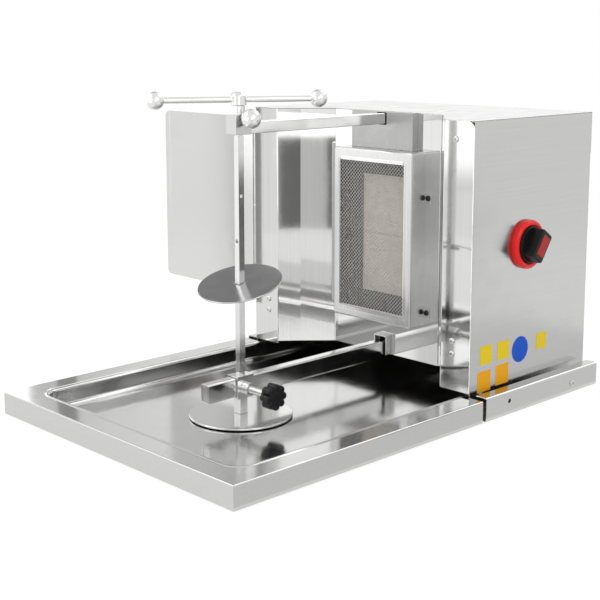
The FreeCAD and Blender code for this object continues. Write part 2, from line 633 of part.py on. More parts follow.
def build_burner():
    frame_y = (BURNER_FACE, CAVITY)
    shell = block("frame_outside", both("burner_half"), frame_y, ("burner_low", BURNER_TOP))
    inside = block("frame_inside", both("burner_half - skin"), (f"{BURNER_FACE} + skin", f"{CAVITY} + skin"),
                   ("burner_low + skin", f"{BURNER_TOP} - skin"))
    opening = block("frame_opening", both(OPENING_HALF), (f"{BURNER_FACE} - skin", CAVITY),
                    (OPENING_LOW, OPENING_HIGH))
    keep("burner_frame", cut("burner_frame", shell, inside, opening))

    mesh_y = (MESH_FRONT, f"{MESH_FRONT} + mesh_sheet")
    plate = block("mesh_plate", both(f"{OPENING_HALF} + mesh_edge"), mesh_y,
                  (f"{OPENING_LOW} - mesh_edge", f"{OPENING_HIGH} + mesh_edge"))
    gap = block("mesh_gap", (f"-{OPENING_HALF} + mesh_wire / 2",
                             f"-{OPENING_HALF} - mesh_wire / 2 + 2 * {OPENING_HALF} / mesh_columns"),
                (f"{MESH_FRONT} - skin", f"{MESH_FRONT} + 2 * mesh_sheet"),
                (f"{OPENING_LOW} + mesh_wire / 2",
                 f"{OPENING_LOW} - mesh_wire / 2 + ({OPENING_HIGH} - {OPENING_LOW}) / mesh_rows"))
    doc.recompute()
    step_x = 2 * (size("burner_half") - size("frame_side")) / size("mesh_columns")
    opening_high = size("housing_height") - size("burner_drop") - size("frame_end")
    step_z = (opening_high - size("burner_low") - size("frame_end")) / size("mesh_rows")
    gaps = []
    for column in range(int(size("mesh_columns"))):
        for line in range(int(size("mesh_rows"))):
            hole = gap.Shape.copy()
            hole.translate(FreeCAD.Vector(column * step_x, 0, line * step_z))
            gaps.append(hole)
    mesh = doc.addObject("Part::Feature", "burner_mesh")
    mesh.Shape = plate.Shape.cut(Part.makeCompound(gaps))
    keep("burner_mesh", mesh)

    box = block("box_outside", both(BOX_HALF), (f"{MESH_FRONT} + mesh_sheet", BOX_BACK),
                (BOX_LOW, BOX_HIGH))
    room = block("box_inside", both(f"{BOX_HALF} - skin"), (MESH_FRONT, f"{BOX_BACK} - skin"),
                 (f"{BOX_LOW} + skin", f"{BOX_HIGH} - skin"))
    tube_way = rod("box_tube_way", "Y", f"{BOX_BACK} - 2 * skin", f"{BOX_BACK} + skin", ("0", TUBE_HIGH),
                   "tube_radius - tube_wall")
    keep("burner_box", cut("burner_box", box, room, tube_way))

    tile_y = (TILE_FRONT, f"{TILE_FRONT} + tile_depth")
    half = f"{BOX_HALF} - skin - tile_gap"
    middle = f"({BOX_LOW} + {BOX_HIGH}) / 2"
    low_tile = block("tile_low", both(half), tile_y,
                     (f"{BOX_LOW} + skin + tile_gap", f"{middle} - tile_gap / 2"))
    high_tile = block("tile_high", both(half), tile_y,
                      (f"{middle} + tile_gap / 2", f"{BOX_HIGH} - skin - tile_gap"))
    keep("ceramic_tiles", group("ceramic_tiles", low_tile, high_tile))

    gasket_y = (f"{TILE_FRONT} - gasket_depth", TILE_FRONT)
    band = block("gasket_outside", both(f"{BOX_HALF} - skin"), gasket_y,
                 (f"{BOX_LOW} + skin", f"{BOX_HIGH} - skin"))
    bore = block("gasket_inside", both(f"{BOX_HALF} - skin - gasket_width"),
                 (f"{TILE_FRONT} - 2 * gasket_depth", f"{TILE_FRONT} + tile_depth"),
                 (f"{BOX_LOW} + skin + gasket_width", f"{BOX_HIGH} - skin - gasket_width"))
    keep("tile_gasket", cut("tile_gasket", band, bore))

    hanger_y = f"({BURNER_FACE} + hanger_inset)"
    plate = block("hanger_outside", both("hanger_half"), (hanger_y, CAVITY), (BURNER_TOP, "housing_height"))
    room = block("hanger_room", both("hanger_half - skin"), (f"{hanger_y} + skin", f"{CAVITY} + skin"),
                 (f"{BURNER_TOP} - skin", CEILING))
    slot = block("hanger_slot", both("arm_side / 2 + skin"), (f"{hanger_y} - skin", CAVITY),
                 (f"{ARM_BOTTOM} - skin", CEILING))
    keep("burner_hanger", cut("burner_hanger", plate, room, slot))

    lugs = []
    heads = []
    for name, height in (("low", "burner_low + lug_rise"), ("high", f"{BURNER_TOP} - lug_drop")):
        z = (f"{height} - lug_height / 2", f"{height} + lug_height / 2")
        right = block(f"lug_{name}", ("burner_half", "burner_half + lug_reach"),
                      (f"{CAVITY} - skin", CAVITY), z)
        head = rod(f"lug_screw_{name}", "Y", f"{CAVITY} - skin - screw_head", f"{CAVITY} - skin",
                   ("burner_half + lug_reach / 2", height), "screw_radius")
        lugs += [right, mirror(f"lug_{name}_left", right)]
        heads += [head, mirror(f"lug_screw_{name}_left", head)]
    keep("burner_lugs", group("burner_lugs", *lugs))
    keep("burner_screws", group("burner_screws", *heads))

    upright = rod("tube_upright", "Z", TUBE_LOW, f"{TUBE_HIGH} + tube_radius", ("0", TUBE_Y), "tube_radius")
    stub = rod("tube_stub", "Y", BOX_BACK, TUBE_Y, ("0", TUBE_HIGH), "tube_radius")
    upright_bore = rod("tube_upright_bore", "Z", f"{TUBE_LOW} - skin",
                       f"{TUBE_HIGH} + tube_radius - tube_wall", ("0", TUBE_Y), "tube_radius - tube_wall")
    stub_bore = rod("tube_stub_bore", "Y", f"{BOX_BACK} - skin", TUBE_Y, ("0", TUBE_HIGH),
                    "tube_radius - tube_wall")
    keep("mixing_tube", cut("mixing_tube", join("tube_solid", upright, stub), upright_bore, stub_bore))

    top = f"({TUBE_LOW} - injector_gap)"
    body = rod("injector_body", "Z", f"{top} - injector_length", top, ("0", TUBE_Y), "injector_radius")
    strap = block("injector_strap", both("tube_wall * 2"), (BOX_BACK, f"{TUBE_Y} - injector_radius / 2"),
                  (f"{top} - injector_length / 2", f"{top} - injector_length / 2 + skin"))
    strap_up = block("injector_strap_up", both("tube_wall * 2"), (BOX_BACK, f"{BOX_BACK} + skin"),
                     (f"{top} - injector_length / 2", TUBE_LOW))
    keep("gas_injector", join("gas_injector", body, strap, strap_up))


# Gas supply

def build_gas_supply():
    valve_x = (f"{INNER} - valve_neck - valve_length", f"{INNER} - valve_neck")
    body = block("valve_block", valve_x, (f"{KNOB_Y} - valve_half", f"{KNOB_Y} + valve_half"),
                 ("knob_height - valve_half_height", "knob_height + valve_half_height"))
    neck = rod("valve_neck_rod", "X", f"{INNER} - valve_neck", INNER, (KNOB_Y, "knob_height"),
               "valve_neck_radius")
    bore = rod("valve_bore", "X", f"{INNER} - spindle_in - 2 * push_travel", f"{SIDE}",
               (KNOB_Y, "knob_height"), "spindle_radius + running_gap")
    keep("gas_valve", cut("gas_valve", join("valve_solid", body, neck), bore))

    at = ("inlet_side", "inlet_height")
    stub_low = f"{BACK} + inlet_collar_length"
    stub = rod("inlet_stub", "Y", stub_low, f"{stub_low} + inlet_length", at, "inlet_radius")
    collar = rod("inlet_collar_rod", "Y", BACK, stub_low, at, "inlet_collar")
    tail = rod("inlet_tail", "Y", f"{BACK} - inlet_collar_length", BACK, at, "inlet_radius - skin / 2")
    gas_bore = rod("inlet_bore", "Y", f"{BACK} - 2 * inlet_collar_length", f"{stub_low} + 2 * inlet_length", at,
                   "pipe_radius - skin")
    keep("gas_inlet", cut("gas_inlet", join("inlet_solid", stub, collar, tail), gas_bore))

    back = size("housing_depth") / 2
    knob_y = size("knob_reach") - back
    valve_left = size("housing_width") / 2 - size("skin") - size("valve_neck") - size("valve_length")
    valve_low = size("knob_height") - size("valve_half_height")
    inlet = (size("inlet_side"), size("inlet_height"))
    inlet_end = back - size("inlet_collar_length")
    inlet_x = valve_left + size("inlet_pipe_side")
    keep("inlet_pipe", bent_pipe("inlet_pipe", [
        (inlet[0], inlet_end, inlet[1]),
        (inlet[0], (inlet_end + knob_y) / 2, inlet[1]),
        (inlet_x, knob_y, (inlet[1] + valve_low) / 2),
        (inlet_x, knob_y, valve_low),
    ], size("pipe_radius"), size("pipe_bend")))

    cavity = size("cavity_depth") - back
    tube_y = cavity + size("box_depth") + size("tube_radius") + 2 * size("tube_wall")
    injector_low = size("burner_low") + size("tube_rise") - size("injector_gap") - size("injector_length")
    run_height = injector_low - size("burner_pipe_drop")
    left_x = valve_left - size("burner_pipe_side")
    keep("burner_pipe", bent_pipe("burner_pipe", [
        (0, tube_y, injector_low),
        (0, tube_y, run_height),
        (left_x, tube_y, run_height),
        (left_x, knob_y, size("knob_height")),
        (valve_left, knob_y, size("knob_height")),
    ], size("pipe_radius") - size("skin"), size("thin_bend")))

    valve_high = size("knob_height") + size("valve_half_height")
    high_run = valve_high + size("probe_rise")
    keep("thermocouple", bent_pipe("thermocouple", [
        (size("probe_side"), cavity - size("probe_tip"), size("probe_height")),
        (size("probe_side"), cavity + size("probe_straight"), size("probe_height")),
        (inlet_x, cavity + size("probe_bend_back"), high_run),
        (inlet_x, knob_y, high_run - size("probe_fall")),
        (inlet_x, knob_y, valve_high),
    ], size("probe_radius"), size("thin_bend")))


# Gas knob on the right panel

def build_gas_knob():
    at = (KNOB_Y, "knob_height")
    spindle = rod("valve_spindle_rod", "X", f"{INNER} - spindle_in", f"{SIDE} + spindle_out", at,
                  "spindle_radius")
    keep("valve_spindle", spindle)

    ring = rod("bezel_disc", "X", SIDE, f"{SIDE} + bezel_thick", at, "bezel_radius")
    bore = rod("bezel_opening", "X", f"{SIDE} - skin", f"{SIDE} + 2 * bezel_thick", at, "bezel_bore")
    keep("knob_bezel", cut("knob_bezel", ring, bore))

    face = f"({SIDE} + bezel_thick + knob_gap)"
    hub = rod("knob_hub_rod", "X", f"{SIDE} + bezel_thick / 2", face, at, "bezel_bore - knob_play")
    disc = rod("knob_disc_rod", "X", face, f"{face} + knob_disc_thick", at, "knob_disc")
    grip = grip_block("knob_grip_bar", (f"{face} + knob_disc_thick", f"{face} + knob_disc_thick + grip_out"),
                      both("grip_reach"), both("grip_half"))
    shaft_bore = rod("knob_bore", "X", SIDE, f"{SIDE} + spindle_out + skin", at, "spindle_radius + running_gap")
    end = f"({face} + knob_disc_thick + grip_out)"
    seat = grip_block("insert_seat", (f"{end} - insert_sunk", f"{end} + skin"), both("insert_reach"),
                      both("insert_half"))
    keep("knob_grip", cut("knob_grip", join("knob_solid", hub, disc, grip), shaft_bore, seat))
    insert_x = (f"{end} - insert_sunk", f"{end} + insert_proud")
    keep("knob_insert", grip_block("knob_insert", insert_x, both("insert_reach"), both("insert_half")))


# Lower bar and carriage

def build_lower_bar():
    y = (f"{FRONT} - bar_reach", f"{BACK} - skin")
    tube = block("bar_outside", both("bar_side / 2"), y, (BAR_LOW, BAR_TOP))
    room = block("bar_inside", both("bar_side / 2 - bar_wall"), (f"{FRONT} - bar_reach - skin", BACK),
                 (f"{BAR_LOW} + bar_wall", f"{BAR_TOP} - bar_wall"))
    keep("lower_bar", cut("lower_bar", tube, room))
    plate = block("bracket_plate", both("bracket_half"), (f"{BACK} - skin - bracket_thick", f"{BACK} - skin"),
                  ("base_sheet", "bracket_high"))
    way = block("bracket_way", both("bar_side / 2"), (f"{BACK} - 2 * bracket_thick - skin", BACK),
                (BAR_LOW, BAR_TOP))
    keep("bar_bracket", cut("bar_bracket", plate, way))


def build_carriage():
    y = (f"{SPIT_Y} - sleeve_length / 2", f"{SPIT_Y} + sleeve_length / 2")
    outer = block("sleeve_outside", both(SLEEVE_HALF), y, (SLEEVE_BOTTOM, SLEEVE_TOP))
    way = block("sleeve_way", both(f"{SLEEVE_HALF} - sleeve_wall"), (f"{y[0]} - skin", f"{y[1]} + skin"),
                (f"{SLEEVE_BOTTOM} + sleeve_wall", f"{SLEEVE_TOP} - sleeve_wall"))
    at = (SPIT_Y, STUD_Z)
    stud_way = rod("sleeve_stud_way", "X", "bar_side / 2", f"{SLEEVE_HALF} + nut_length + skin", at,
                   "stud_radius + running_gap")
    nut = rod("nut_solid", "X", SLEEVE_HALF, f"{SLEEVE_HALF} + nut_length", at, "nut_radius")
    keep("carriage_sleeve", cut("carriage_sleeve", outer, way, stud_way))
    keep("clamp_nut", cut("clamp_nut", nut, rod("nut_bore", "X", "0", f"{SLEEVE_HALF} + 2 * nut_length", at,
                                                "stud_radius + running_gap")))

    star_face = "(star_reach - star_thick / 2)"
    stud = rod("stud_rod", "X", "bar_side / 2 + stud_touch", "star_reach", at, "stud_radius")
    keep("clamp_stud", stud)
    lobes = []
    for number in range(int(size("star_lobes"))):
        turn = f"({number} * 360 / star_lobes * 1 deg)"
        spot = (f"{SPIT_Y} + star_ring * cos({turn})", f"{STUD_Z} + star_ring * sin({turn})")
        lobes.append(rod(f"star_lobe_{number}", "X", star_face, f"{star_face} + star_thick", spot, "star_lobe"))
    core = rod("star_core_rod", "X", star_face, f"{star_face} + star_thick", at, "star_core")
    neck = rod("star_neck_rod", "X", f"{star_face} - star_neck_length", star_face, at, "star_neck")
    bore = rod("star_bore", "X", "0", "star_reach + running_gap", at, "stud_radius + running_gap")
    keep("star_knob", cut("star_knob", join("star_solid", core, neck, *lobes), bore))

    foot_low = "(recess_floor + foot_gap)"
    keep("foot_post", block("foot_post", both("post_side / 2"),
                            (f"{SPIT_Y} - post_side / 2", f"{SPIT_Y} + post_side / 2"),
                            (f"{foot_low} + foot_thick", SLEEVE_BOTTOM)))
    keep("foot_disc", rod("foot_disc", "Z", foot_low, f"{foot_low} + foot_thick", ("0", SPIT_Y), "foot_radius"))
    base_top = f"{SLEEVE_TOP} + pivot_base_height"
    base = rod("pivot_base", "Z", SLEEVE_TOP, base_top, ("0", SPIT_Y), "pivot_radius")
    pin = rod("pivot_pin_rod", "Z", base_top, f"{SPIT_LOW} + spit_bore_depth - skin", ("0", SPIT_Y),
              "pivot_pin")
    keep("pivot_stud", join("pivot_stud", base, pin))


# Spit, discs and handle

def build_spit():
    half = "spit_side / 2"
    square = block("spit_square", both(half), (f"{SPIT_Y} - {half}", f"{SPIT_Y} + {half}"),
                   (SPIT_LOW, SHOULDER))
    journal = rod("spit_journal", "Z", SHOULDER, HUB_SHOULDER, ("0", SPIT_Y), half)
    blind = rod("spit_blind_bore", "Z", f"{SPIT_LOW} - skin", f"{SPIT_LOW} + spit_bore_depth", ("0", SPIT_Y),
                "pivot_pin + running_gap")
    upper = rod("spit_upper_hole", "X", "-spit_side", "spit_side", (SPIT_Y, "cross_hole_high"), "cross_hole")
    lower = rod("spit_lower_hole", "Y", f"{SPIT_Y} - spit_side", f"{SPIT_Y} + spit_side",
                ("0", "cross_hole_low"), "cross_hole")
    stop_at = (SPIT_Y, "meat_height - stop_drop")
    stop_hole = rod("spit_stop_hole", "X", "-spit_side", "spit_side", stop_at, "stop_radius")
    keep("spit_rod", cut("spit_rod", join("spit_solid", square, journal), blind, upper, lower, stop_hole))
    keep("stop_pin", rod("stop_pin", "X", "-stop_half", "stop_half", stop_at, "stop_radius"))

    round_plate = rod("meat_plate", "Z", "-meat_thick / 2", "meat_thick / 2", ("0", "0"), "disc_radius")
    hole_half = "spit_side / 2 + meat_hole_gap"
    hole = block("meat_square", both(hole_half), both(hole_half), both("meat_thick"))
    disc = cut("meat_disc", round_plate, hole)
    lean = FreeCAD.Rotation(FreeCAD.Vector(1, 0, 0), size("meat_lean"))
    roll = FreeCAD.Rotation(FreeCAD.Vector(0, 1, 0), size("meat_roll"))
    disc.Placement = FreeCAD.Placement(FreeCAD.Vector(), roll.multiply(lean))
    place(disc, "0", SPIT_Y, "meat_height")
    keep("meat_disc", disc)

    neck = rod("hub_neck_rod", "Z", HUB_LOW, HUB_SHOULDER, ("0", SPIT_Y), "hub_neck")
    bowl = rod("hub_body_rod", "Z", HUB_SHOULDER, HUB_TOP, ("0", SPIT_Y), "hub_radius")
    dome = doc.addObject("Part::Cone", "hub_dome_cone")
    bind(dome, "Radius1", "hub_radius")
    bind(dome, "Radius2", "hub_radius / 2")
    bind(dome, "Height", "hub_dome")
    place(dome, "0", SPIT_Y, HUB_TOP)
    socket = rod("hub_socket", "Z", f"{HUB_LOW} - skin", HUB_SHOULDER, ("0", SPIT_Y), "spit_side / 2")
    handle = doc.addObject("Part::Cylinder", "handle_bar_rod")
    turn = math.radians(size("handle_turn"))
    along = FreeCAD.Vector(math.cos(turn), math.sin(turn), 0)
    handle.Placement = FreeCAD.Placement(FreeCAD.Vector(), FreeCAD.Rotation(FreeCAD.Vector(0, 0, 1), along))
    bind(handle, "Radius", "handle_radius")
    bind(handle, "Height", "2 * handle_half")
    across = "handle_half * cos(handle_turn * 1 deg)"
    deep = "handle_half * sin(handle_turn * 1 deg)"
    place(handle, f"-{across}", f"{SPIT_Y} - {deep}", HANDLE_Z)
    balls = []
    for name, sign in (("near", "-"), ("far", "+")):
        centre = (f"{sign}{across}", f"{SPIT_Y} {sign} {deep}", HANDLE_Z)
        balls.append(ball(f"handle_ball_{name}", centre, "handle_ball"))
    keep("handle_hub", cut("handle_hub", join("hub_solid", neck, bowl, dome), socket, handle))
    keep("handle_bar", cut("handle_bar", handle, *balls))
    keep("handle_balls", group("handle_balls", *balls))


# Upper arm with bearing head, guide and lock knob

def build_upper_arm():
    head_back = f"({SPIT_Y} + head_length / 2)"
    tube = block("arm_outside", both("arm_side / 2"), (head_back, f"{FRONT} + arm_tail"),
                 (ARM_BOTTOM, ARM_TOP))
    room = block("arm_inside", both("arm_side / 2 - arm_wall"), (head_back, f"{FRONT} + arm_tail + skin"),
                 (f"{ARM_BOTTOM} + arm_wall", f"{ARM_TOP} - arm_wall"))
    keep("upper_arm", cut("upper_arm", tube, room))
    solid = block("head_block", both("head_half"), (f"{SPIT_Y} - head_length / 2", head_back),
                  (HEAD_LOW, HEAD_TOP))
    bore = rod("head_bore", "Z", f"{HEAD_LOW} - skin", f"{HEAD_TOP} + skin", ("0", SPIT_Y),
               "spit_side / 2 + running_gap")
    lock_at = (SPIT_Y, f"({HEAD_TOP} - lock_drop)")
    lock_way = rod("head_lock_way", "X", "head_half - lock_sunk", "head_half + skin", lock_at,
                   "lock_stem + running_gap")
    keep("bearing_head", cut("bearing_head", solid, bore, lock_way))
    stem = rod("lock_stem_rod", "X", "head_half - lock_sunk + running_gap", "lock_reach", lock_at,
               "lock_stem")
    knob = ball("lock_ball_solid", ("lock_reach", *lock_at), "lock_ball")
    keep("lock_knob", join("lock_knob", stem, knob))

    y = (f"{FRONT} + guide_start", f"{FRONT} + guide_start + guide_length")
    inner = "arm_side / 2 + guide_gap"
    channel = block("guide_outside", both(f"{inner} + guide_wall"), y,
                    (f"{ARM_BOTTOM} - guide_gap - guide_wall", CEILING))
    lips = block("guide_lips", both(f"{inner} + guide_wall + guide_lip"), y,
                 (f"{CEILING} - guide_wall", CEILING))
    way = block("guide_way", both(inner), (f"{y[0]} - skin", f"{y[1]} + skin"),
                (f"{ARM_BOTTOM} - guide_gap", "housing_height"))
    keep("arm_guide", cut("arm_guide", join("guide_solid", channel, lips), way))


# Wind wing and its hinges

def build_wing():
    def strip_y(x_from_axis, behind):
        """Face of the slanted strip at a distance from the hinge axis."""
        return f"({FRONT} + ({behind}) - wing_jog * ({x_from_axis}) / wing_strip)"
    outline = [
        (HINGE_X, FRONT),
        (f"{HINGE_X} - wing_strip", f"{FRONT} - wing_jog"),
        (f"{HINGE_X} - wing_length", f"{FRONT} - wing_jog"),
        (f"{HINGE_X} - wing_length", f"{FRONT} - wing_jog + skin"),
        (f"{HINGE_X} - wing_strip", f"{FRONT} - wing_jog + skin"),
        (HINGE_X, f"{FRONT} + skin"),
    ]
    keep("wind_wing", profile("wing_sheet", outline, ("wing_low", WING_TOP)))

    axis = (HINGE_X, HINGE_Y)
    moving = []
    fixed = []
    pins = []
    lows = {"low": "(wing_low + hinge_inset)", "high": f"({WING_TOP} - hinge_inset - hinge_length)"}
    for name, low in lows.items():
        top = f"({low} + hinge_length)"
        middle = (f"({low} + hinge_length / 2 - knuckle_length / 2)",
                  f"({low} + hinge_length / 2 + knuckle_length / 2)")
        bore = rod(f"hinge_bore_{name}", "Z", f"{low} - skin", f"{top} + skin", axis, "hinge_pin + running_gap")
        knuckle = rod(f"knuckle_moving_{name}", "Z", *middle, axis, "knuckle_moving")
        near = "(knuckle_moving + skin)"
        far = "leaf_length"
        leaf = profile(f"leaf_moving_{name}", [
            (f"{HINGE_X} - {near}", strip_y(near, "skin")),
            (f"{HINGE_X} - {far}", strip_y(far, "skin")),
            (f"{HINGE_X} - {far}", strip_y(far, "2 * skin")),
            (f"{HINGE_X} - {near}", strip_y(near, "2 * skin")),
        ], (low, top))
        web = block(f"web_moving_{name}", (f"{HINGE_X} - 2 * {near}", HINGE_X),
                    (f"{FRONT} + skin", f"{FRONT} + 2 * skin"), middle)
        sheet_room = profile(f"leaf_room_{name}", outline, (low, top))
        joined = join(f"leaf_moving_solid_{name}", knuckle, leaf, web)
        moving.append(cut(f"leaf_wing_{name}", joined, bore, sheet_room))

        web_y = (f"{HINGE_Y} + knuckle_fixed - leaf_sheet", f"{HINGE_Y} + knuckle_fixed")
        side = f"(-{SIDE})"
        parts = []
        ends = {"bottom": (low, f"{low} + knuckle_length"), "top": (f"{top} - knuckle_length", top)}
        for end, z in ends.items():
            parts.append(rod(f"knuckle_{end}_{name}", "Z", *z, axis, "knuckle_fixed"))
            parts.append(block(f"web_{end}_{name}", (HINGE_X, side), web_y, z))
        parts.append(block(f"leaf_fixed_{name}", (f"{side} - leaf_sheet", side),
                           (web_y[0], f"{HINGE_Y} + leaf_length"), (low, top)))
        tight = rod(f"hinge_tight_{name}", "Z", f"{low} - skin", f"{top} + skin", axis, "hinge_pin")
        fixed.append(cut(f"leaf_housing_{name}", join(f"leaf_fixed_solid_{name}", *parts), tight))
        pins.append(rod(f"hinge_pin_{name}", "Z", low, top, axis, "hinge_pin"))
    keep("hinge_leaves_wing", group("hinge_leaves_wing", *moving))
    keep("hinge_leaves_housing", group("hinge_leaves_housing", *fixed))
    keep("hinge_pins", group("hinge_pins", *pins))


# Drip tray

def build_tray():
    """Folded skirt, flat deck and pressed well, welded into one tray."""
    half = TRAY_HALF
    deck_low = "(tray_height - skin)"
    wide = (TRAY_FRONT, TRAY_BACK)
    tail = (f"{TRAY_BACK} - skin", TAIL_END)
    wide_outside = block("skirt_wide", both(half), wide, ("tray_lift", deck_low))
    tail_outside = block("skirt_tail", both(TAIL_HALF), tail, ("tray_tail_lift", deck_low))
    wide_room = block("skirt_wide_room", both(f"{half} - skin"),
                      (f"{TRAY_FRONT} + skin", f"{TRAY_BACK} - skin"), ("-skin", "tray_height"))
    tail_room = block("skirt_tail_room", both(f"{TAIL_HALF} - skin"),
                      (f"{TRAY_BACK} - 2 * skin", f"{TAIL_END} - skin"), ("-skin", "tray_height"))
    folded = join("skirt_solid", wide_outside, tail_outside)
    keep("tray_skirt", cut("tray_skirt", folded, wide_room, tail_room))

    edge = f"({half} - rim_width)"
    front = f"{TRAY_FRONT} + rim_width"
    back = f"{TAIL_END} - recess_rear_gap"
    rims = [(f"-{edge}", front), (edge, front), (edge, back), (f"-{edge}", back)]
    inner_half = f"({edge} - skin)"
    inner = [(f"-{inner_half}", f"{front} + skin"), (inner_half, f"{front} + skin"),
             (inner_half, f"{back} - skin"), (f"-{inner_half}", f"{back} - skin")]
    wide_deck = block("deck_wide", both(half), wide, (deck_low, "tray_height"))
    tail_deck = block("deck_tail", both(TAIL_HALF), tail, (deck_low, "tray_height"))
    mouth = profile("deck_mouth", rims, (f"{deck_low} - skin", "tray_height + skin"), "recess_round")
    keep("tray_deck", cut("tray_deck", join("deck_solid", wide_deck, tail_deck), mouth))

    well = profile("well_outside", rims, ("recess_floor - skin", "tray_height"), "recess_round")
    room = profile("well_room", inner, ("recess_floor", "tray_height + skin"), "recess_round - skin")
    keep("tray_well", cut("tray_well", well, room))


# Patches and screw heads

def square_patches(name, places):
    """Flat coloured patches on the right panel."""
    x = (SIDE, f"{SIDE} + patch_sheet")
    patches = []
    for number, (reach, height, half) in enumerate(places):
        y = (f"{FRONT} + {reach - half}", f"{FRONT} + {reach + half}")
        patches.append(block(f"{name}_{number}", x, y, (f"{height - half}", f"{height + half}")))
    keep(name, group(name, *patches))


def screw_pairs(name, axis, spots):
    """Screw heads on the right and their mirror images on the left."""
    heads = []
    for number, (start, end, across) in enumerate(spots):
        head = rod(f"{name}_{number}", axis, start, end, across, "screw_radius")
        heads += [head, mirror(f"{name}_{number}_left", head)]
    keep(name, group(name, *heads))


def build_small_parts():
    square_patches("patches_yellow", YELLOW_PATCHES)
    square_patches("patches_orange", ORANGE_PATCHES)
    keep("patch_blue", rod("patch_blue", "X", SIDE, f"{SIDE} + patch_sheet",
                           (f"{FRONT} + round_patch_reach", "round_patch_height"), "round_patch_radius"))

    flange_x = f"{SIDE} - flange_screw_inset"
    flange_heights = ("flange_screw_low", "flange_screw_low + flange_screw_next",
                      "housing_height - flange_screw_drop")
    screw_pairs("reflector_screws", "Y",
                [(f"{FRONT} - screw_head", FRONT, (flange_x, height)) for height in flange_heights])

    outer = f"({SIDE} + rail_width)"
    screw_pairs("rail_screws", "X",
                [(outer, f"{outer} + screw_head", (f"{FRONT} + rail_screw_reach", "rail_screw_height"))])

    rear_x = f"{INNER} - panel_flange / 2"
    rear_heights = ("rear_screw_low", "(rear_screw_low + housing_height - rear_screw_drop) / 2",
                    "housing_height - rear_screw_drop")
    screw_pairs("rear_screws", "Y",
                [(BACK, f"{BACK} + screw_head", (rear_x, height)) for height in rear_heights])


build_base_plate()
build_rail()
build_side_panels()
build_rear_panel()
build_top_cover()
build_reflector()
build_bar_collar()
build_burner()
build_gas_supply()
build_gas_knob()
build_lower_bar()
build_carriage()
build_spit()
build_upper_arm()
build_wing()
build_tray()
build_small_parts()
doc.recompute()

for thing in doc.Objects:
    if "Invalid" in thing.State or "Error" in thing.State:
        raise RuntimeError(f"{thing.Label} did not build")
for name, thing in nodes.items():
    if thing.Shape.isNull() or not thing.Shape.isValid() or not thing.Shape.Solids:
        raise RuntimeError(f"{name} has no sound solid")

os.makedirs("parts", exist_ok=True)
for name, thing in nodes.items():
    thing.Shape.exportStep(f"parts/{name}.step")
    print(name, len(thing.Shape.Solids), round(thing.Shape.Volume, 1))
print(len(nodes), "nodes")
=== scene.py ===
"""Looks of a gas doner kebab grill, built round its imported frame.

Sizes are in metres in the frame's own axes: +Y points to the back, +Z up, and the spit stands in front.
"""

import logging
import math
from collections.abc import Callable, Sequence
from dataclasses import dataclass
from enum import Enum
from functools import cache

import bmesh
import bpy
from mathutils import Matrix, Vector


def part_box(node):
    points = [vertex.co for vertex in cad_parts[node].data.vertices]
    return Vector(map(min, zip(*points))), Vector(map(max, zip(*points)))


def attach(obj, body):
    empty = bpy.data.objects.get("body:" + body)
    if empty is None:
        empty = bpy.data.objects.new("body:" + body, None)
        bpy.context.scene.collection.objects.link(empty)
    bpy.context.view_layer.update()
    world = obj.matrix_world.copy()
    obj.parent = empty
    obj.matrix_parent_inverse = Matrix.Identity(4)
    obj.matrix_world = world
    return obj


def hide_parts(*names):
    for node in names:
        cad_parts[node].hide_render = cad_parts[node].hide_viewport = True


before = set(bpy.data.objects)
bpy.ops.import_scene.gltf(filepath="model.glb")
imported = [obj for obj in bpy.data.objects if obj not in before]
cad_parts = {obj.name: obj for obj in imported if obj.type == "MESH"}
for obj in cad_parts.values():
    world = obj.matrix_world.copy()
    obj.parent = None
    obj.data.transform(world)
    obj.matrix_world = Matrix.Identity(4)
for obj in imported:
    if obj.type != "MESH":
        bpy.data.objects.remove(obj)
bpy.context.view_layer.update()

log = logging.getLogger("doner_grill")
MM = 0.001
TINY = 1e-6
WHITE = (1, 1, 1, 1)
UP = Vector((0, 0, 1))
FORWARD = Vector((0, -1, 0))

Line = list[Vector]
Pair = tuple[float, float]
Colour = tuple[float, float, float]
Mesh = bmesh.types.BMesh
Piece = bpy.types.Object
Tree = bpy.types.NodeTree
Socket = bpy.types.NodeSocket


class Axis(Enum):
    """Direction that a section is drawn out along, by its place in a point."""

    X = 0
    Y = 1
    Z = 2

    def lift(self, spot: Vector, along: float) -> Vector:
        """Point over a section's point, at a distance along the axis."""
        return Vector((*spot[:self.value], along, *spot[self.value:]))


class Brush(Enum):
    """Direction of the grain on brushed steel, as the noise's scale along X, Y and Z."""

    ALONG_Y = (900.0, 6.0, 900.0)
    ALONG_Z = (900.0, 900.0, 6.0)
    NONE = (400.0, 400.0, 400.0)


@dataclass(frozen=True)
class Box:
    """Lowest and highest corner of one or more CAD nodes at rest."""

    low: Vector
    high: Vector

    @classmethod
    def round_spots(cls, spots: Sequence[Vector]) -> "Box":
        """Box round points."""
        low, high = (Vector([end(spot[axis] for spot in spots) for axis in range(3)]) for end in (min, max))
        return cls(low, high)

    @classmethod
    def of(cls, *nodes: str) -> "Box":
        """Box round the named nodes."""
        return cls.round_spots([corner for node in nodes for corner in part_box(node)])

    @property
    def centre(self) -> Vector:
        """Middle of the box."""
        return (self.low + self.high) / 2

    @property
    def size(self) -> Vector:
        """Length of the box along each axis."""
        return self.high - self.low


# Lines in a plane


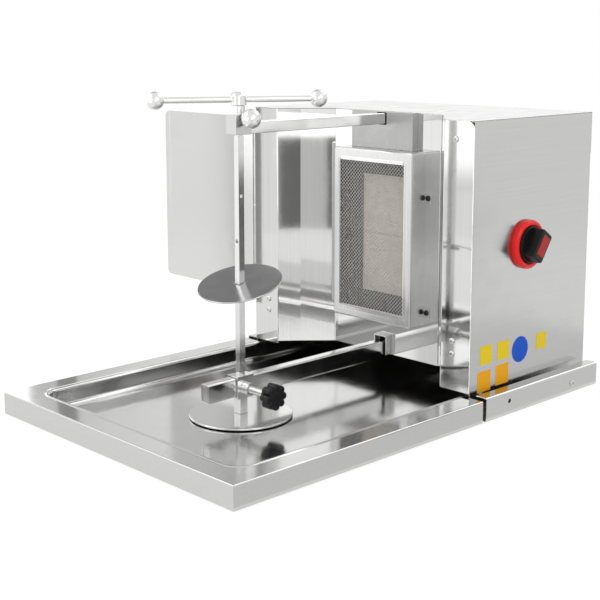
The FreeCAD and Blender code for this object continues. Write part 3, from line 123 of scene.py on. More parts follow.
def arc(before: Vector, corner: Vector, after: Vector, radius: float, steps: int) -> Line:
    """Rounds one corner of a line in a plane.

    Args:
        before: Point before the corner.
        corner: The corner.
        after: Point after the corner.
        radius: Radius of the arc, made smaller where the line is too short for it.
        steps: Pieces of the arc.

    Returns:
        The points of the arc, or the corner itself where the line runs straight on.
    """
    straight_on, longest_share = math.radians(89.5), 0.49
    back = (before - corner).normalized()
    ahead = (after - corner).normalized()
    half = back.angle(ahead) / 2
    if radius <= 0 or half > straight_on:
        return [corner.copy()]
    room = longest_share * min((before - corner).length, (after - corner).length)
    trim = min(radius / math.tan(half), room)
    centre = corner + (back + ahead).normalized() * trim / math.cos(half)
    start = corner + back * trim - centre
    end = corner + ahead * trim - centre
    turn = math.copysign(math.pi - 2 * half, start.x * end.y - start.y * end.x)
    return [centre + Matrix.Rotation(turn * step / steps, 2) @ start for step in range(steps + 1)]


def rounded(points: Sequence[tuple[float, ...]], radius: float, closed: bool = True, steps: int = 5) -> Line:
    """Rounds the corners of an outline or of an open line.

    Args:
        points: Corners as (across, up), with a radius of its own as a third number where it differs.
        radius: Radius of the other corners.
        closed: Whether the last point joins the first.
        steps: Pieces of each arc.

    Returns:
        The points of the rounded line.
    """
    corners = [Vector(point[:2]) for point in points]
    line: Line = []
    for index, corner in enumerate(corners):
        if not closed and index in (0, len(corners) - 1):
            line.append(corner)
            continue
        own = points[index][2] if len(points[index]) > 2 else radius
        line += arc(corners[index - 1], corner, corners[(index + 1) % len(corners)], own, steps)
    return line


def rectangle(low: Pair, high: Pair, radius: float, steps: int = 5) -> Line:
    """Rounded rectangle from its lowest to its highest corner."""
    return rounded([low, (high[0], low[1]), high, (low[0], high[1])], radius, steps=steps)


def sweep(centre: Pair, radius: float, start: float, end: float, steps: int = 5) -> Line:
    """Draws an arc in a section.

    Args:
        centre: Centre of the arc.
        radius: Its radius.
        start: Angle in degrees at which it starts.
        end: Angle in degrees at which it ends.
        steps: Pieces of the arc.

    Returns:
        The points of the arc.
    """
    x, y = centre
    turns = [math.radians(start + (end - start) * step / steps) for step in range(steps + 1)]
    return [Vector((x + radius * math.cos(turn), y + radius * math.sin(turn))) for turn in turns]


def circle(centre: Pair, radius: float, count: int) -> Line:
    """Points round a circle."""
    return sweep(centre, radius, 0, 360, count)[:-1]


def corner_steps(radius: float) -> list[float]:
    """Distances from a sheet's side at which its round corner is drawn."""
    return [radius * (1 - math.cos(math.radians(turn))) for turn in range(0, 91, 10)]


def corner_cut(off: float, radius: float) -> float:
    """What a round corner takes off a sheet's end, at a distance from the sheet's side."""
    share = 1 - min(off / radius, 1.0)
    return radius * (1 - math.sqrt(max(1 - share ** 2, 0.0)))


# Mesh tools


def bridge(mesh: Mesh, rings: Sequence[Line]) -> list[list[bmesh.types.BMVert]]:
    """Joins closed rings with faces.

    Args:
        mesh: Mesh that the faces are added to.
        rings: Points of each ring, as many in each.

    Returns:
        The corners of each ring.
    """
    made = [[mesh.verts.new(spot) for spot in ring] for ring in rings]
    for low, high in zip(made, made[1:]):
        for index in range(len(low)):
            after = (index + 1) % len(low)
            mesh.faces.new((low[index], low[after], high[after], high[index]))
    return made


def add_stack(mesh: Mesh, rings: Sequence[Line]) -> None:
    """Adds a solid through closed rings, with a face at each end.

    Args:
        mesh: Mesh that the solid is added to.
        rings: Points of each ring, as many in each.
    """
    made = bridge(mesh, rings)
    mesh.faces.new(made[0][::-1])
    mesh.faces.new(made[-1])


def fill_flat(mesh: Mesh, *rings: list[bmesh.types.BMVert]) -> None:
    """Fills the flat area inside the first ring and outside the others.

    Args:
        mesh: Mesh of the rings.
        rings: Corners of each ring.
    """
    edges = []
    for ring in rings:
        for index, vertex in enumerate(ring):
            after = ring[(index + 1) % len(ring)]
            edges.append(mesh.edges.get((vertex, after)) or mesh.edges.new((vertex, after)))
    bmesh.ops.triangle_fill(mesh, use_beauty=True, use_dissolve=True, edges=edges)


def turn_out(mesh: Mesh, direction: Vector) -> None:
    """Turns an open sheet's faces to its outer side.

    Args:
        mesh: The sheet.
        direction: Where the outer side looks at the sheet's furthest place in that direction.
    """
    bmesh.ops.recalc_face_normals(mesh, faces=mesh.faces[:])
    mesh.normal_update()
    outer = max(mesh.faces, key=lambda face: face.calc_center_median().dot(direction))
    if outer.normal.dot(direction) < 0:
        bmesh.ops.reverse_faces(mesh, faces=mesh.faces[:])


def add_lathe(mesh: Mesh, profile: Line, count: int, place: Matrix, ring: bool = False) -> None:
    """Adds a turned body.

    Args:
        mesh: Mesh that the body is added to.
        profile: Points as (radius, height) from one end to the other.
        count: Faces round the body.
        place: Where the turning axis goes, drawn along Z.
        ring: Whether the profile closes on itself.
    """
    rings = []
    for spot in profile:
        around = circle((0, 0), spot.x, count) if spot.x > TINY else [Vector((0, 0))]
        rings.append([mesh.verts.new(place @ Vector((*point, spot.y))) for point in around])
    for low, high in zip(rings, rings[1:] + (rings[:1] if ring else [])):
        for index in range(count):
            corners = (low, index), (low, index + 1), (high, index + 1), (high, index)
            unique = list(dict.fromkeys(side[number % len(side)] for side, number in corners))
            if len(unique) > 2:
                mesh.faces.new(unique)


def piece_from(name: str, mesh: Mesh, closed: bool = True) -> Piece:
    """Makes an object of a mesh.

    Args:
        name: Name of the piece.
        mesh: Its faces.
        closed: Whether it is a solid, whose faces are turned outwards.

    Returns:
        The object, linked to the scene.
    """
    if closed:
        bmesh.ops.recalc_face_normals(mesh, faces=mesh.faces[:])
    data = bpy.data.meshes.new(name)
    mesh.to_mesh(data)
    mesh.free()
    return placed(name, data)


def placed(name: str, data: bpy.types.ID) -> Piece:
    """Makes an object and links it to the scene.

    Args:
        name: Name of the object.
        data: Its mesh, lamp or camera.

    Returns:
        The object.
    """
    piece = bpy.data.objects.new(name, data)
    bpy.context.scene.collection.objects.link(piece)
    return piece


def settle(piece: Piece) -> Piece:
    """Applies a piece's modifiers to its mesh.

    Args:
        piece: The piece.

    Returns:
        The piece.
    """
    bpy.context.view_layer.update()
    graph = bpy.context.evaluated_depsgraph_get()
    done = bpy.data.meshes.new_from_object(piece.evaluated_get(graph))
    done.name = piece.data.name
    piece.modifiers.clear()
    piece.data = done
    return piece


def add_modifier(piece: Piece, name: str, kind: str, **settings: object) -> None:
    """Adds a modifier to a piece.

    Args:
        piece: The piece.
        name: Name of the modifier.
        kind: Its type.
        settings: Its settings.
    """
    modifier = piece.modifiers.new(name, kind)
    for field, value in settings.items():
        setattr(modifier, field, value)


def thicken(piece: Piece, thickness: float) -> Piece:
    """Gives a sheet its thickness behind its face."""
    add_modifier(piece, "thickness", "SOLIDIFY", thickness=thickness, offset=-1, use_even_offset=True)
    return settle(piece)


def carve(piece: Piece, tool: Piece) -> Piece:
    """Cuts a tool out of a piece and removes the tool.

    Args:
        piece: The piece.
        tool: The solid that is cut out.

    Returns:
        The piece.
    """
    add_modifier(piece, "hole", "BOOLEAN", operation="DIFFERENCE", solver="EXACT", object=tool)
    settle(piece)
    bpy.data.objects.remove(tool)
    return piece


def soften(piece: Piece, width: float = 0.0, angle: float = 35.0) -> Piece:
    """Rounds a piece's sharp edges and shades it smoothly.

    Args:
        piece: The piece.
        width: Width of the rounded edges.
        angle: Degrees from which an edge counts as sharp.

    Returns:
        The piece.
    """
    if width > 0:
        add_modifier(piece, "rounded edges", "BEVEL", width=width, segments=2, limit_method="ANGLE",
                     angle_limit=math.radians(angle), use_clamp_overlap=True)
    shade(piece, angle + 15)
    add_modifier(piece, "even shading", "WEIGHTED_NORMAL", keep_sharp=True)
    return piece


def shade(piece: Piece, angle: float) -> Piece:
    """Shades a piece smoothly.

    Args:
        piece: The piece.
        angle: Degrees from which an edge stays sharp.

    Returns:
        The piece.
    """
    piece.data.shade_smooth()
    piece.data.set_sharp_from_angle(angle=math.radians(angle))
    return piece


def sheet_piece(
    name: str,
    line: Line,
    rows: Sequence[float],
    axis: Axis,
    thickness: float,
    leave_out: Callable[[Vector, float], bool] = lambda spot, along: False,
    limits: Callable[[Vector], Pair] = lambda spot: (-math.inf, math.inf),
) -> Piece:
    """Makes a folded sheet, whose front is on the right of its line seen from the rows' end.

    Args:
        name: Name of the piece.
        line: Section of the sheet.
        rows: Places along the sheet's axis, lowest first.
        axis: Direction that the section is drawn out along.
        thickness: Thickness behind the front.
        leave_out: Says whether the face at a place is an opening.
        limits: Lowest and highest row at a place of the section.

    Returns:
        The piece.
    """
    mesh = bmesh.new()
    grid = []
    for spot in line:
        low, high = limits(spot)
        heights = [min(max(row, low), high) for row in rows]
        grid.append([(mesh.verts.new(axis.lift(spot, height)), height) for height in heights])
    for index, (here, after) in enumerate(zip(grid, grid[1:])):
        middle = (line[index] + line[index + 1]) / 2
        for row in range(len(rows) - 1):
            corners = [here[row], after[row], after[row + 1], here[row + 1]]
            heights = [height for _, height in corners]
            if max(heights) - min(heights) > TINY / 10 and not leave_out(middle, sum(heights) / 4):
                mesh.faces.new([vertex for vertex, _ in corners])
    bmesh.ops.remove_doubles(mesh, verts=mesh.verts[:], dist=TINY)
    bmesh.ops.delete(mesh, geom=[vertex for vertex in mesh.verts if not vertex.link_faces], context="VERTS")
    return thicken(piece_from(name, mesh, closed=False), thickness)


def prism_piece(name: str, loops: Sequence[Line], ends: Pair, axis: Axis) -> Piece:
    """Makes a solid with the section of an outline and its holes.

    Args:
        name: Name of the piece.
        loops: Outline first, then the holes.
        ends: Where the solid starts and ends along its axis.
        axis: Direction that the section is drawn out along.

    Returns:
        The piece.
    """
    mesh = bmesh.new()
    sides = [bridge(mesh, [[axis.lift(spot, end) for spot in loop] for end in ends]) for loop in loops]
    for end in range(2):
        fill_flat(mesh, *[rings[end] for rings in sides])
    return piece_from(name, mesh)


def lathe_piece(name: str, profile: Line, place: Matrix, count: int = 64, ring: bool = False) -> Piece:
    """Makes a turned piece.

    Args:
        name: Name of the piece.
        profile: Points as (radius, height) from one end to the other.
        place: Where the turning axis goes, drawn along Z.
        count: Faces round the piece.
        ring: Whether the profile closes on itself.

    Returns:
        The piece.
    """
    mesh = bmesh.new()
    add_lathe(mesh, profile, count, place, ring)
    return soften(piece_from(name, mesh))


def turned_to(centre: Vector, direction: Vector) -> Matrix:
    """Placement that takes the Z axis to a direction at a centre."""
    return Matrix.Translation(centre) @ direction.to_track_quat("Z", "Y").to_matrix().to_4x4()


def mirrored(piece: Piece, name: str) -> Piece:
    """Makes the same piece for the other side of the grill.

    Args:
        piece: The piece, without modifiers.
        name: Name of the other piece.

    Returns:
        The other piece.
    """
    mesh = bmesh.new()
    mesh.from_mesh(piece.data)
    bmesh.ops.scale(mesh, vec=(-1, 1, 1), verts=mesh.verts[:])
    bmesh.ops.reverse_faces(mesh, faces=mesh.faces[:])
    return piece_from(name, mesh, closed=False)


# Node tools


def put(tree: Tree, socket: Socket, value: object) -> None:
    """Links an output to an input, or sets the input's value.

    Args:
        tree: Tree of the input.
        socket: The input.
        value: An output, a number, a vector or a colour.
    """
    if isinstance(value, bpy.types.NodeSocket):
        tree.links.new(value, socket)
    else:
        socket.default_value = value


def add_node(
    tree: Tree, kind: str, inputs: dict[str | int, object], which: str | int = 0, **settings: object
) -> Socket | None:
    """Adds a node to a tree.

    Args:
        tree: Tree of a material, a group or the world.
        kind: Type of the node.
        inputs: For each input, a number, a colour or the output that feeds it.
        which: The output that is wanted.
        settings: The node's own settings.

    Returns:
        The output, if the node has any.
    """
    node = tree.nodes.new(kind)
    for name, value in settings.items():
        setattr(node, name, value)
    for name, value in inputs.items():
        put(tree, node.inputs[name], value)
    return node.outputs[which] if node.outputs else None


def maths(tree: Tree, operation: str, *values: object) -> Socket:
    """Result of an operation on numbers or outputs."""
    return add_node(tree, "ShaderNodeMath", dict(enumerate(values)), operation=operation)


def remap(tree: Tree, value: Socket, *ends: float, **settings: str) -> Socket:
    """Takes a value's first to second end to 0 to 1, or to the third and fourth end."""
    return add_node(tree, "ShaderNodeMapRange", dict(enumerate((value, *ends))), **settings)


def noise(tree: Tree, spot: Socket, scale: object, detail: float, **more: float) -> Socket:
    """Cloudy noise at a place."""
    return add_node(tree, "ShaderNodeTexNoise", {"Vector": spot, "Scale": scale, "Detail": detail, **more})


def new_group(name: str, label: str, start: object, *outputs: str) -> tuple[Tree, Socket, Socket]:
    """Starts a node group that takes a place and one more value.

    Args:
        name: Name of the group.
        label: Name of the value.
        start: Its default, a number or a vector.
        outputs: Names of the masks and numbers that the group gives.

    Returns:
        The group's tree, the place and the value.
    """
    tree = bpy.data.node_groups.new(name, "ShaderNodeTree")
    for socket, value in (("Vector", (0.0, 0.0, 0.0)), (label, start)):
        kind = "NodeSocketFloat" if isinstance(value, float) else "NodeSocketVector"
        tree.interface.new_socket(socket, in_out="INPUT", socket_type=kind).default_value = value
    for socket in outputs:
        tree.interface.new_socket(socket, in_out="OUTPUT", socket_type="NodeSocketFloat")
    given = tree.nodes.new("NodeGroupInput").outputs
    return tree, given[0], given[1]


class Effects:
    """Node groups that more than one finish uses, each built when it is first asked for."""

    @staticmethod
    @cache
    def grain() -> Tree:
        """Fine lines of brushed metal: Stretch is the noise's scale along each axis."""
        tree, spot, stretch = new_group("brushed_grain", "Stretch", (6.0, 900.0, 900.0), "Tone", "Height")
        stretched = add_node(tree, "ShaderNodeVectorMath", {0: spot, 1: stretch}, operation="MULTIPLY")
        lines = noise(tree, stretched, 1.0, 4.0, Roughness=0.65)
        add_node(tree, "NodeGroupOutput", {"Tone": remap(tree, lines, 0.32, 0.68), "Height": lines})
        return tree

    @staticmethod
    @cache
    def waves() -> Tree:
        """Slow waves of rolled sheet and faint smudges, from noise of a given size."""
        tree, spot, pace = new_group("sheet_waves", "Waves per metre", 12.0, "Height", "Smudge")
        cloud = noise(tree, spot, maths(tree, "MULTIPLY", pace, 4.0), 5.0, Distortion=0.4)
        smudge = remap(tree, cloud, 0.42, 0.75)
        add_node(tree, "NodeGroupOutput", {"Height": noise(tree, spot, pace, 1.0), "Smudge": smudge})
        return tree

    @staticmethod
    @cache
    def edges() -> Tree:
        """Edge mask, broken up by noise: polished by hands and cloths, or painted darker as shade lines."""
        tree, spot, width = new_group("edge_polish_and_painted_outline", "Width", 0.8 * MM, "Mask")
        worn = add_node(tree, "ShaderNodeBevel", {"Radius": width}, samples=4)
        plain = add_node(tree, "ShaderNodeNewGeometry", {}, "Normal")
        likeness = add_node(tree, "ShaderNodeVectorMath", {0: worn, 1: plain}, "Value",
                            operation="DOT_PRODUCT")
        broken = noise(tree, spot, 160.0, 3.0)
        mask = maths(tree, "MULTIPLY", remap(tree, likeness, 0.995, 0.86), broken)
        add_node(tree, "NodeGroupOutput", {"Mask": mask})
        return tree

    @staticmethod
    @cache
    def specks() -> Tree:
        """Fine specks and pores: Tone for colour and roughness, Height for bump."""
        tree, spot, pace = new_group("fine_specks", "Specks per metre", 900.0, "Tone", "Height")
        fine = noise(tree, spot, pace, 4.0)
        cells = add_node(tree, "ShaderNodeTexVoronoi", {"Vector": spot, "Scale": pace})
        height = maths(tree, "ADD", fine, cells)
        add_node(tree, "NodeGroupOutput", {"Tone": remap(tree, fine, 0.3, 0.7), "Height": height})
        return tree


@dataclass
class Recipe:
    """A material under way: its tree, its shader and the object's own coordinates."""

    name: str

    def __post_init__(self) -> None:
        """Makes the material with its shader and coordinates."""
        self.material = bpy.data.materials.new(self.name)
        self.material.use_nodes = True
        self.tree = self.material.node_tree
        self.shader = self.tree.nodes["Principled BSDF"]
        self.spot = add_node(self.tree, "ShaderNodeTexCoord", {}, "Object")

    def effect(self, group: Tree, *value: object) -> bpy.types.NodeOutputs:
        """Adds an effect at the object's own coordinates.

        Args:
            group: Node group of the effect.
            value: The effect's second value, where it isn't the default.

        Returns:
            The effect's outputs.
        """
        node = self.tree.nodes.new("ShaderNodeGroup")
        node.node_tree = group
        for socket, wanted in zip(node.inputs, (self.spot, *value)):
            put(self.tree, socket, wanted)
        return node.outputs

    def between(self, mask: Socket, low: float, high: float) -> Socket:
        """Number from low to high as a mask goes from 0 to 1."""
        return remap(self.tree, mask, 0.0, 1.0, low, high)

    def blend(self, mask: Socket, first: object, second: object) -> Socket:
        """Colour between two colours or colour outputs, by a mask."""
        start, end = ((*colour, 1.0) if isinstance(colour, tuple) else colour for colour in (first, second))
        return add_node(self.tree, "ShaderNodeMix", {"Factor": mask, 6: start, 7: end}, 2, data_type="RGBA")

    def bump(self, height: Socket, depth: float, **before: Socket) -> Socket:
        """Normal of a height map of a depth in metres, on top of another normal."""
        return add_node(self.tree, "ShaderNodeBump",
                        {"Height": height, "Distance": depth, "Strength": 1.0, **before})

    def feed(self, **sockets: object) -> bpy.types.Material:
        """Feeds or sets the shader's inputs.

        Args:
            sockets: A value or an output for each input, whose name has underscores for spaces.

        Returns:
            The material.
        """
        for name, value in sockets.items():
            put(self.tree, self.shader.inputs[name.replace("_", " ")], value)
        return self.material

    def glow(self, level: object) -> Socket:
        """White light of a level."""
        return add_node(self.tree, "ShaderNodeEmission", {"Color": WHITE, "Strength": level})

    def show(self, surface: Socket) -> bpy.types.Material:
        """Makes a shader the material's surface, and returns the material."""
        self.tree.links.new(surface, self.tree.nodes["Material Output"].inputs["Surface"])
        return self.material


# Finishes


def shaded(colour: Colour, share: float) -> Colour:
    """The same colour, darker or lighter by a share."""
    return tuple(min(part * share, 1.0) for part in colour)


def steel(level: float) -> Colour:
    """Grey of steel, a little warm."""
    return level, level, level - 0.005


@dataclass(frozen=True)
class Metal:
    """Finish of bare metal: grain, waves, and edges polished lighter or painted darker as shade lines."""

    colour: Colour
    roughness: float
    brush: Brush = Brush.NONE
    grain_depth: float = 0.001 * MM
    wave_depth: float = 0.08 * MM
    waves: float = 14.0
    variation: float = 0.02
    # Above 1 the edges are polished lighter; below 1 they are painted darker as shade lines.
    edge_share: float = 1.25

    def material(self, name: str) -> bpy.types.Material:
        """Makes the material of this metal.

        Args:
            name: Name of the material.

        Returns:
            The material.
        """
        recipe = Recipe(name)
        grain = recipe.effect(Effects.grain(), self.brush.value)
        waves = recipe.effect(Effects.waves(), self.waves)
        edge = recipe.effect(Effects.edges())
        dark, light = shaded(self.colour, 1 - self.variation), shaded(self.colour, 1 + self.variation)
        body = recipe.blend(grain["Tone"], dark, light)
        # Edges take the edge share: polished lighter above 1, painted shade lines below 1.
        colour = recipe.blend(edge["Mask"], body, shaded(self.colour, self.edge_share))
        rough = recipe.between(waves["Smudge"], self.roughness * 0.9, self.roughness * 1.2)
        wavy = recipe.bump(waves["Height"], self.wave_depth)
        normal = recipe.bump(grain["Height"], self.grain_depth, Normal=wavy)
        return recipe.feed(Base_Color=colour, Roughness=rough, Normal=normal, Metallic=1.0)


@dataclass(frozen=True)
class Moulded:
    """Finish of moulded plastic, with a faint texture and a little colour variation."""

    colour: Colour
    roughness: float
    texture_depth: float = 0.02 * MM
    specks: float = 1400.0
    coat: float = 0.0
    shine: float = 0.5

    def material(self, name: str) -> bpy.types.Material:
        """Makes the material of this plastic.

        Args:
            name: Name of the material.

        Returns:
            The material.
        """
        recipe = Recipe(name)
        specks = recipe.effect(Effects.specks(), self.specks)
        waves = recipe.effect(Effects.waves(), 30.0)
        edge = recipe.effect(Effects.edges())
        body = recipe.blend(specks["Tone"], shaded(self.colour, 0.9), shaded(self.colour, 1.08))
        colour = recipe.blend(edge["Mask"], body, shaded(self.colour, 1.5))
        rough = recipe.between(waves["Smudge"], self.roughness * 0.85, self.roughness * 1.25)
        normal = recipe.bump(specks["Height"], self.texture_depth)
        return recipe.feed(Base_Color=colour, Roughness=rough, Normal=normal, Coat_Weight=self.coat,
                           Coat_Roughness=0.15, Specular_IOR_Level=self.shine)


@dataclass(frozen=True)
class Fired:
    """Finish of pressed ceramic or fibre, with pores painted darker as the shade inside them."""

    colour: Colour
    pore_shade_colour: Colour
    pores: float = 620.0
    pore_depth: float = 0.3 * MM
    roughness: float = 0.85

    def material(self, name: str) -> bpy.types.Material:
        """Makes the material of this ceramic.

        Args:
            name: Name of the material.

        Returns:
            The material.
        """
        recipe = Recipe(name)
        cells = add_node(recipe.tree, "ShaderNodeTexVoronoi",
                         {"Vector": recipe.spot, "Scale": self.pores, "Randomness": 0.35})
        pore = remap(recipe.tree, cells, 0.22, 0.36)
        cloud = recipe.effect(Effects.waves(), 25.0)
        body = recipe.blend(cloud["Smudge"], self.colour, shaded(self.colour, 0.86))
        # Painted shade: the pores take a darker colour for the shade that the holes' depth would give.
        colour = recipe.blend(pore, self.pore_shade_colour, body)
        rough = recipe.between(cloud["Smudge"], self.roughness * 0.9, min(self.roughness * 1.1, 1.0))
        return recipe.feed(Base_Color=colour, Roughness=rough, Normal=recipe.bump(pore, self.pore_depth))


Finish = Metal | Moulded | Fired

FINISHES: dict[str, Finish] = {
    "stainless_sheet": Metal(steel(0.60), 0.2),
    "bright_reflector": Metal(steel(0.66), 0.055, Brush.ALONG_Z, wave_depth=0.06 * MM, variation=0.03),
    "stainless_tray": Metal(steel(0.58), 0.13, wave_depth=0.05 * MM),
    # Painted shade lines: the bar finish darkens its edges to 0.3 of its colour.
    "stainless_bar": Metal(steel(0.70), 0.15, wave_depth=0.02 * MM, edge_share=0.3),
    "polished_disc": Metal(steel(0.66), 0.1, wave_depth=0.02 * MM),
    "polished_steel": Metal(steel(0.74), 0.17, wave_depth=0.0),
    "plated_steel": Metal((0.60, 0.60, 0.59), 0.25, wave_depth=0.02 * MM),
    "wire_mesh": Metal((0.66, 0.65, 0.63), 0.3, wave_depth=0.0, variation=0.1),
    "brass_fitting": Metal((0.62, 0.46, 0.20), 0.3, wave_depth=0.02 * MM),
    "copper_pipe": Metal((0.68, 0.36, 0.24), 0.28, wave_depth=0.02 * MM),
    # The second colour of each fired finish is the painted shade of its pores.
    "ceramic": Fired((0.97, 0.90, 0.80), (0.42, 0.33, 0.26)),
    "gasket_fibre": Fired((0.055, 0.053, 0.05), (0.03, 0.03, 0.03), pores=300.0),
    "red_plastic": Moulded((0.86, 0.016, 0.012), 0.3, coat=0.15, shine=0.2),
    "black_plastic": Moulded((0.006, 0.006, 0.007), 0.36, shine=0.25),
    "yellow_patch": Moulded((0.86, 0.62, 0.012), 0.45, 0.01 * MM, shine=0.15),
    "orange_patch": Moulded((0.95, 0.42, 0.006), 0.45, 0.01 * MM, shine=0.15),
    "blue_patch": Moulded((0.006, 0.09, 0.60), 0.45, 0.01 * MM, shine=0.15),
}


class Dresser:
    """Gives pieces their finish, keeping one material for each finish."""

    made: dict[tuple[str, Finish], bpy.types.Material] = {}

    @classmethod
    def dress(cls, piece: Piece, slot: str, finish: Finish | None) -> None:
        """Gives a piece its finish.

        Args:
            piece: The piece.
            slot: Material slot that it takes its finish from.
            finish: Finish of its own, where it differs from the slot's.
        """
        chosen = finish or FINISHES[slot]
        if (slot, chosen) not in cls.made:
            label = slot if chosen == FINISHES[slot] else f"{slot}_{len(cls.made)}"
            cls.made[slot, chosen] = chosen.material(label)
        piece.data.materials.clear()
        piece.data.materials.append(cls.made[slot, chosen])

    @classmethod
    def fit(cls, piece: Piece, body: str, slot: str, *stands_for: str, finish: Finish | None = None) -> None:
        """Dresses a new piece and mounts it on its body.

        Args:
            piece: The new piece, in place.
            body: CAD body that it moves with.
            slot: Material slot that it takes its finish from.
            stands_for: CAD nodes that it replaces.
            finish: Finish of its own, where it differs from the slot's.
        """
        cls.dress(piece, slot, finish)
        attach(piece, body)
        if stands_for:
            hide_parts(*stands_for)
        log.info("%s rides on %s", piece.name, body)

    @classmethod
    def refine(cls, slot: str, edge: float, *nodes: str, finish: Finish | None = None) -> None:
        """Keeps the shape of CAD nodes, rounds their edges and gives them a finish.

        Args:
            slot: Their material slot.
            edge: Width of their rounded edges.
            nodes: Names of the nodes.
            finish: Finish of their own, where it differs from the slot's.
        """
        for node in nodes:
            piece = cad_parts[node]
            add_modifier(piece, "joined corners", "WELD", merge_threshold=0.01 * MM)
            add_modifier(piece, "whole faces", "DECIMATE", decimate_type="DISSOLVE",
                         angle_limit=math.radians(1))
            cls.dress(soften(piece, edge), slot, finish)
            log.info("%s keeps its shape", node)


# Studio


@dataclass(frozen=True)
class SkyPatch:
    """Soft patch of the studio that is lighter or darker: its direction and half sizes in degrees."""

    turn: float
    rise: float
    half_turn: float
    half_rise: float
    change: float
    blur: float = 4.0


@dataclass(frozen=True)
class Board:
    """Upright board: its foot, the way it faces in degrees, its size, and its levels round a fade."""

    name: str
    place: Pair
    faces: float
    width: float
    low: float
    high: float
    levels: Pair
    fade: Pair = (0.0, 0.01)

    def corners(self) -> Line:
        """Corners of the board."""
        turn = math.radians(self.faces)
        along = Vector((-math.sin(turn), math.cos(turn), 0)) * self.width / 2
        foot, top = Vector((*self.place, self.low)), UP * (self.high - self.low)
        return [foot - along, foot + along, foot + along + top, foot - along + top]


@dataclass(frozen=True)
class Lamp:
    """Soft lamp: its place, size and power in watts."""

    name: str
    place: tuple[float, float, float]
    width: float
    height: float
    power: float


SKY_PATCHES = (
    SkyPatch(149, 39, 14, 12, -0.72),
    SkyPatch(152, 12, 6, 6, -0.45),
    SkyPatch(77, 45, 22, 14, 1.1),
    SkyPatch(-167, 43, 12, 14, 0.6),
    SkyPatch(128, 5, 12, 4, 0.18, 2.0),
)
STUDIO_BOARDS = (
    Board("broad_board", (-0.672, -1.025), 45, 0.6, 0.08, 0.7, (0.9, 1.75), (0.08, 0.17)),
    Board("spit_board", (-0.377, -0.602), 41, 0.07, 0.03, 0.45, (1.25, 1.2), (0.2, 0.225)),
    Board("cheek_board", (0.739, -0.679), 142, 0.12, 0.0, 0.19, (0.19, 0.19)),
    Board("fold_board", (0.668, -0.770), 142, 0.11, 0.0, 0.19, (0.68, 0.68)),
    Board("cheek_light", (0.71, -0.72), 142, 0.3, 0.19, 0.7, (1.8, 1.8)),
    Board("dark_board", (0.5, 0.15), 180, 0.2, 0.0, 0.19, (0.14, 0.14)),
    Board("strip_board", (-0.35, -0.26), 90, 0.046, 0.02, 0.42, (0.36, 0.36)),
    Board("left_board", (-1.3, -0.15), 0, 0.8, 0.02, 0.8, (1.9, 1.9)),
    Board("front_board", (0.0, -1.3), 90, 0.5, 0.02, 0.8, (1.9, 1.9)),
)
STUDIO_LAMPS = (
    Lamp("key_lamp", (-1.2, -1.6, 1.9), 1.0, 1.0, 14),
    Lamp("side_lamp", (1.9, -0.4, 1.3), 0.8, 1.2, 6),
    Lamp("rear_lamp", (-0.3, 1.7, 1.8), 1.0, 0.8, 7),
)


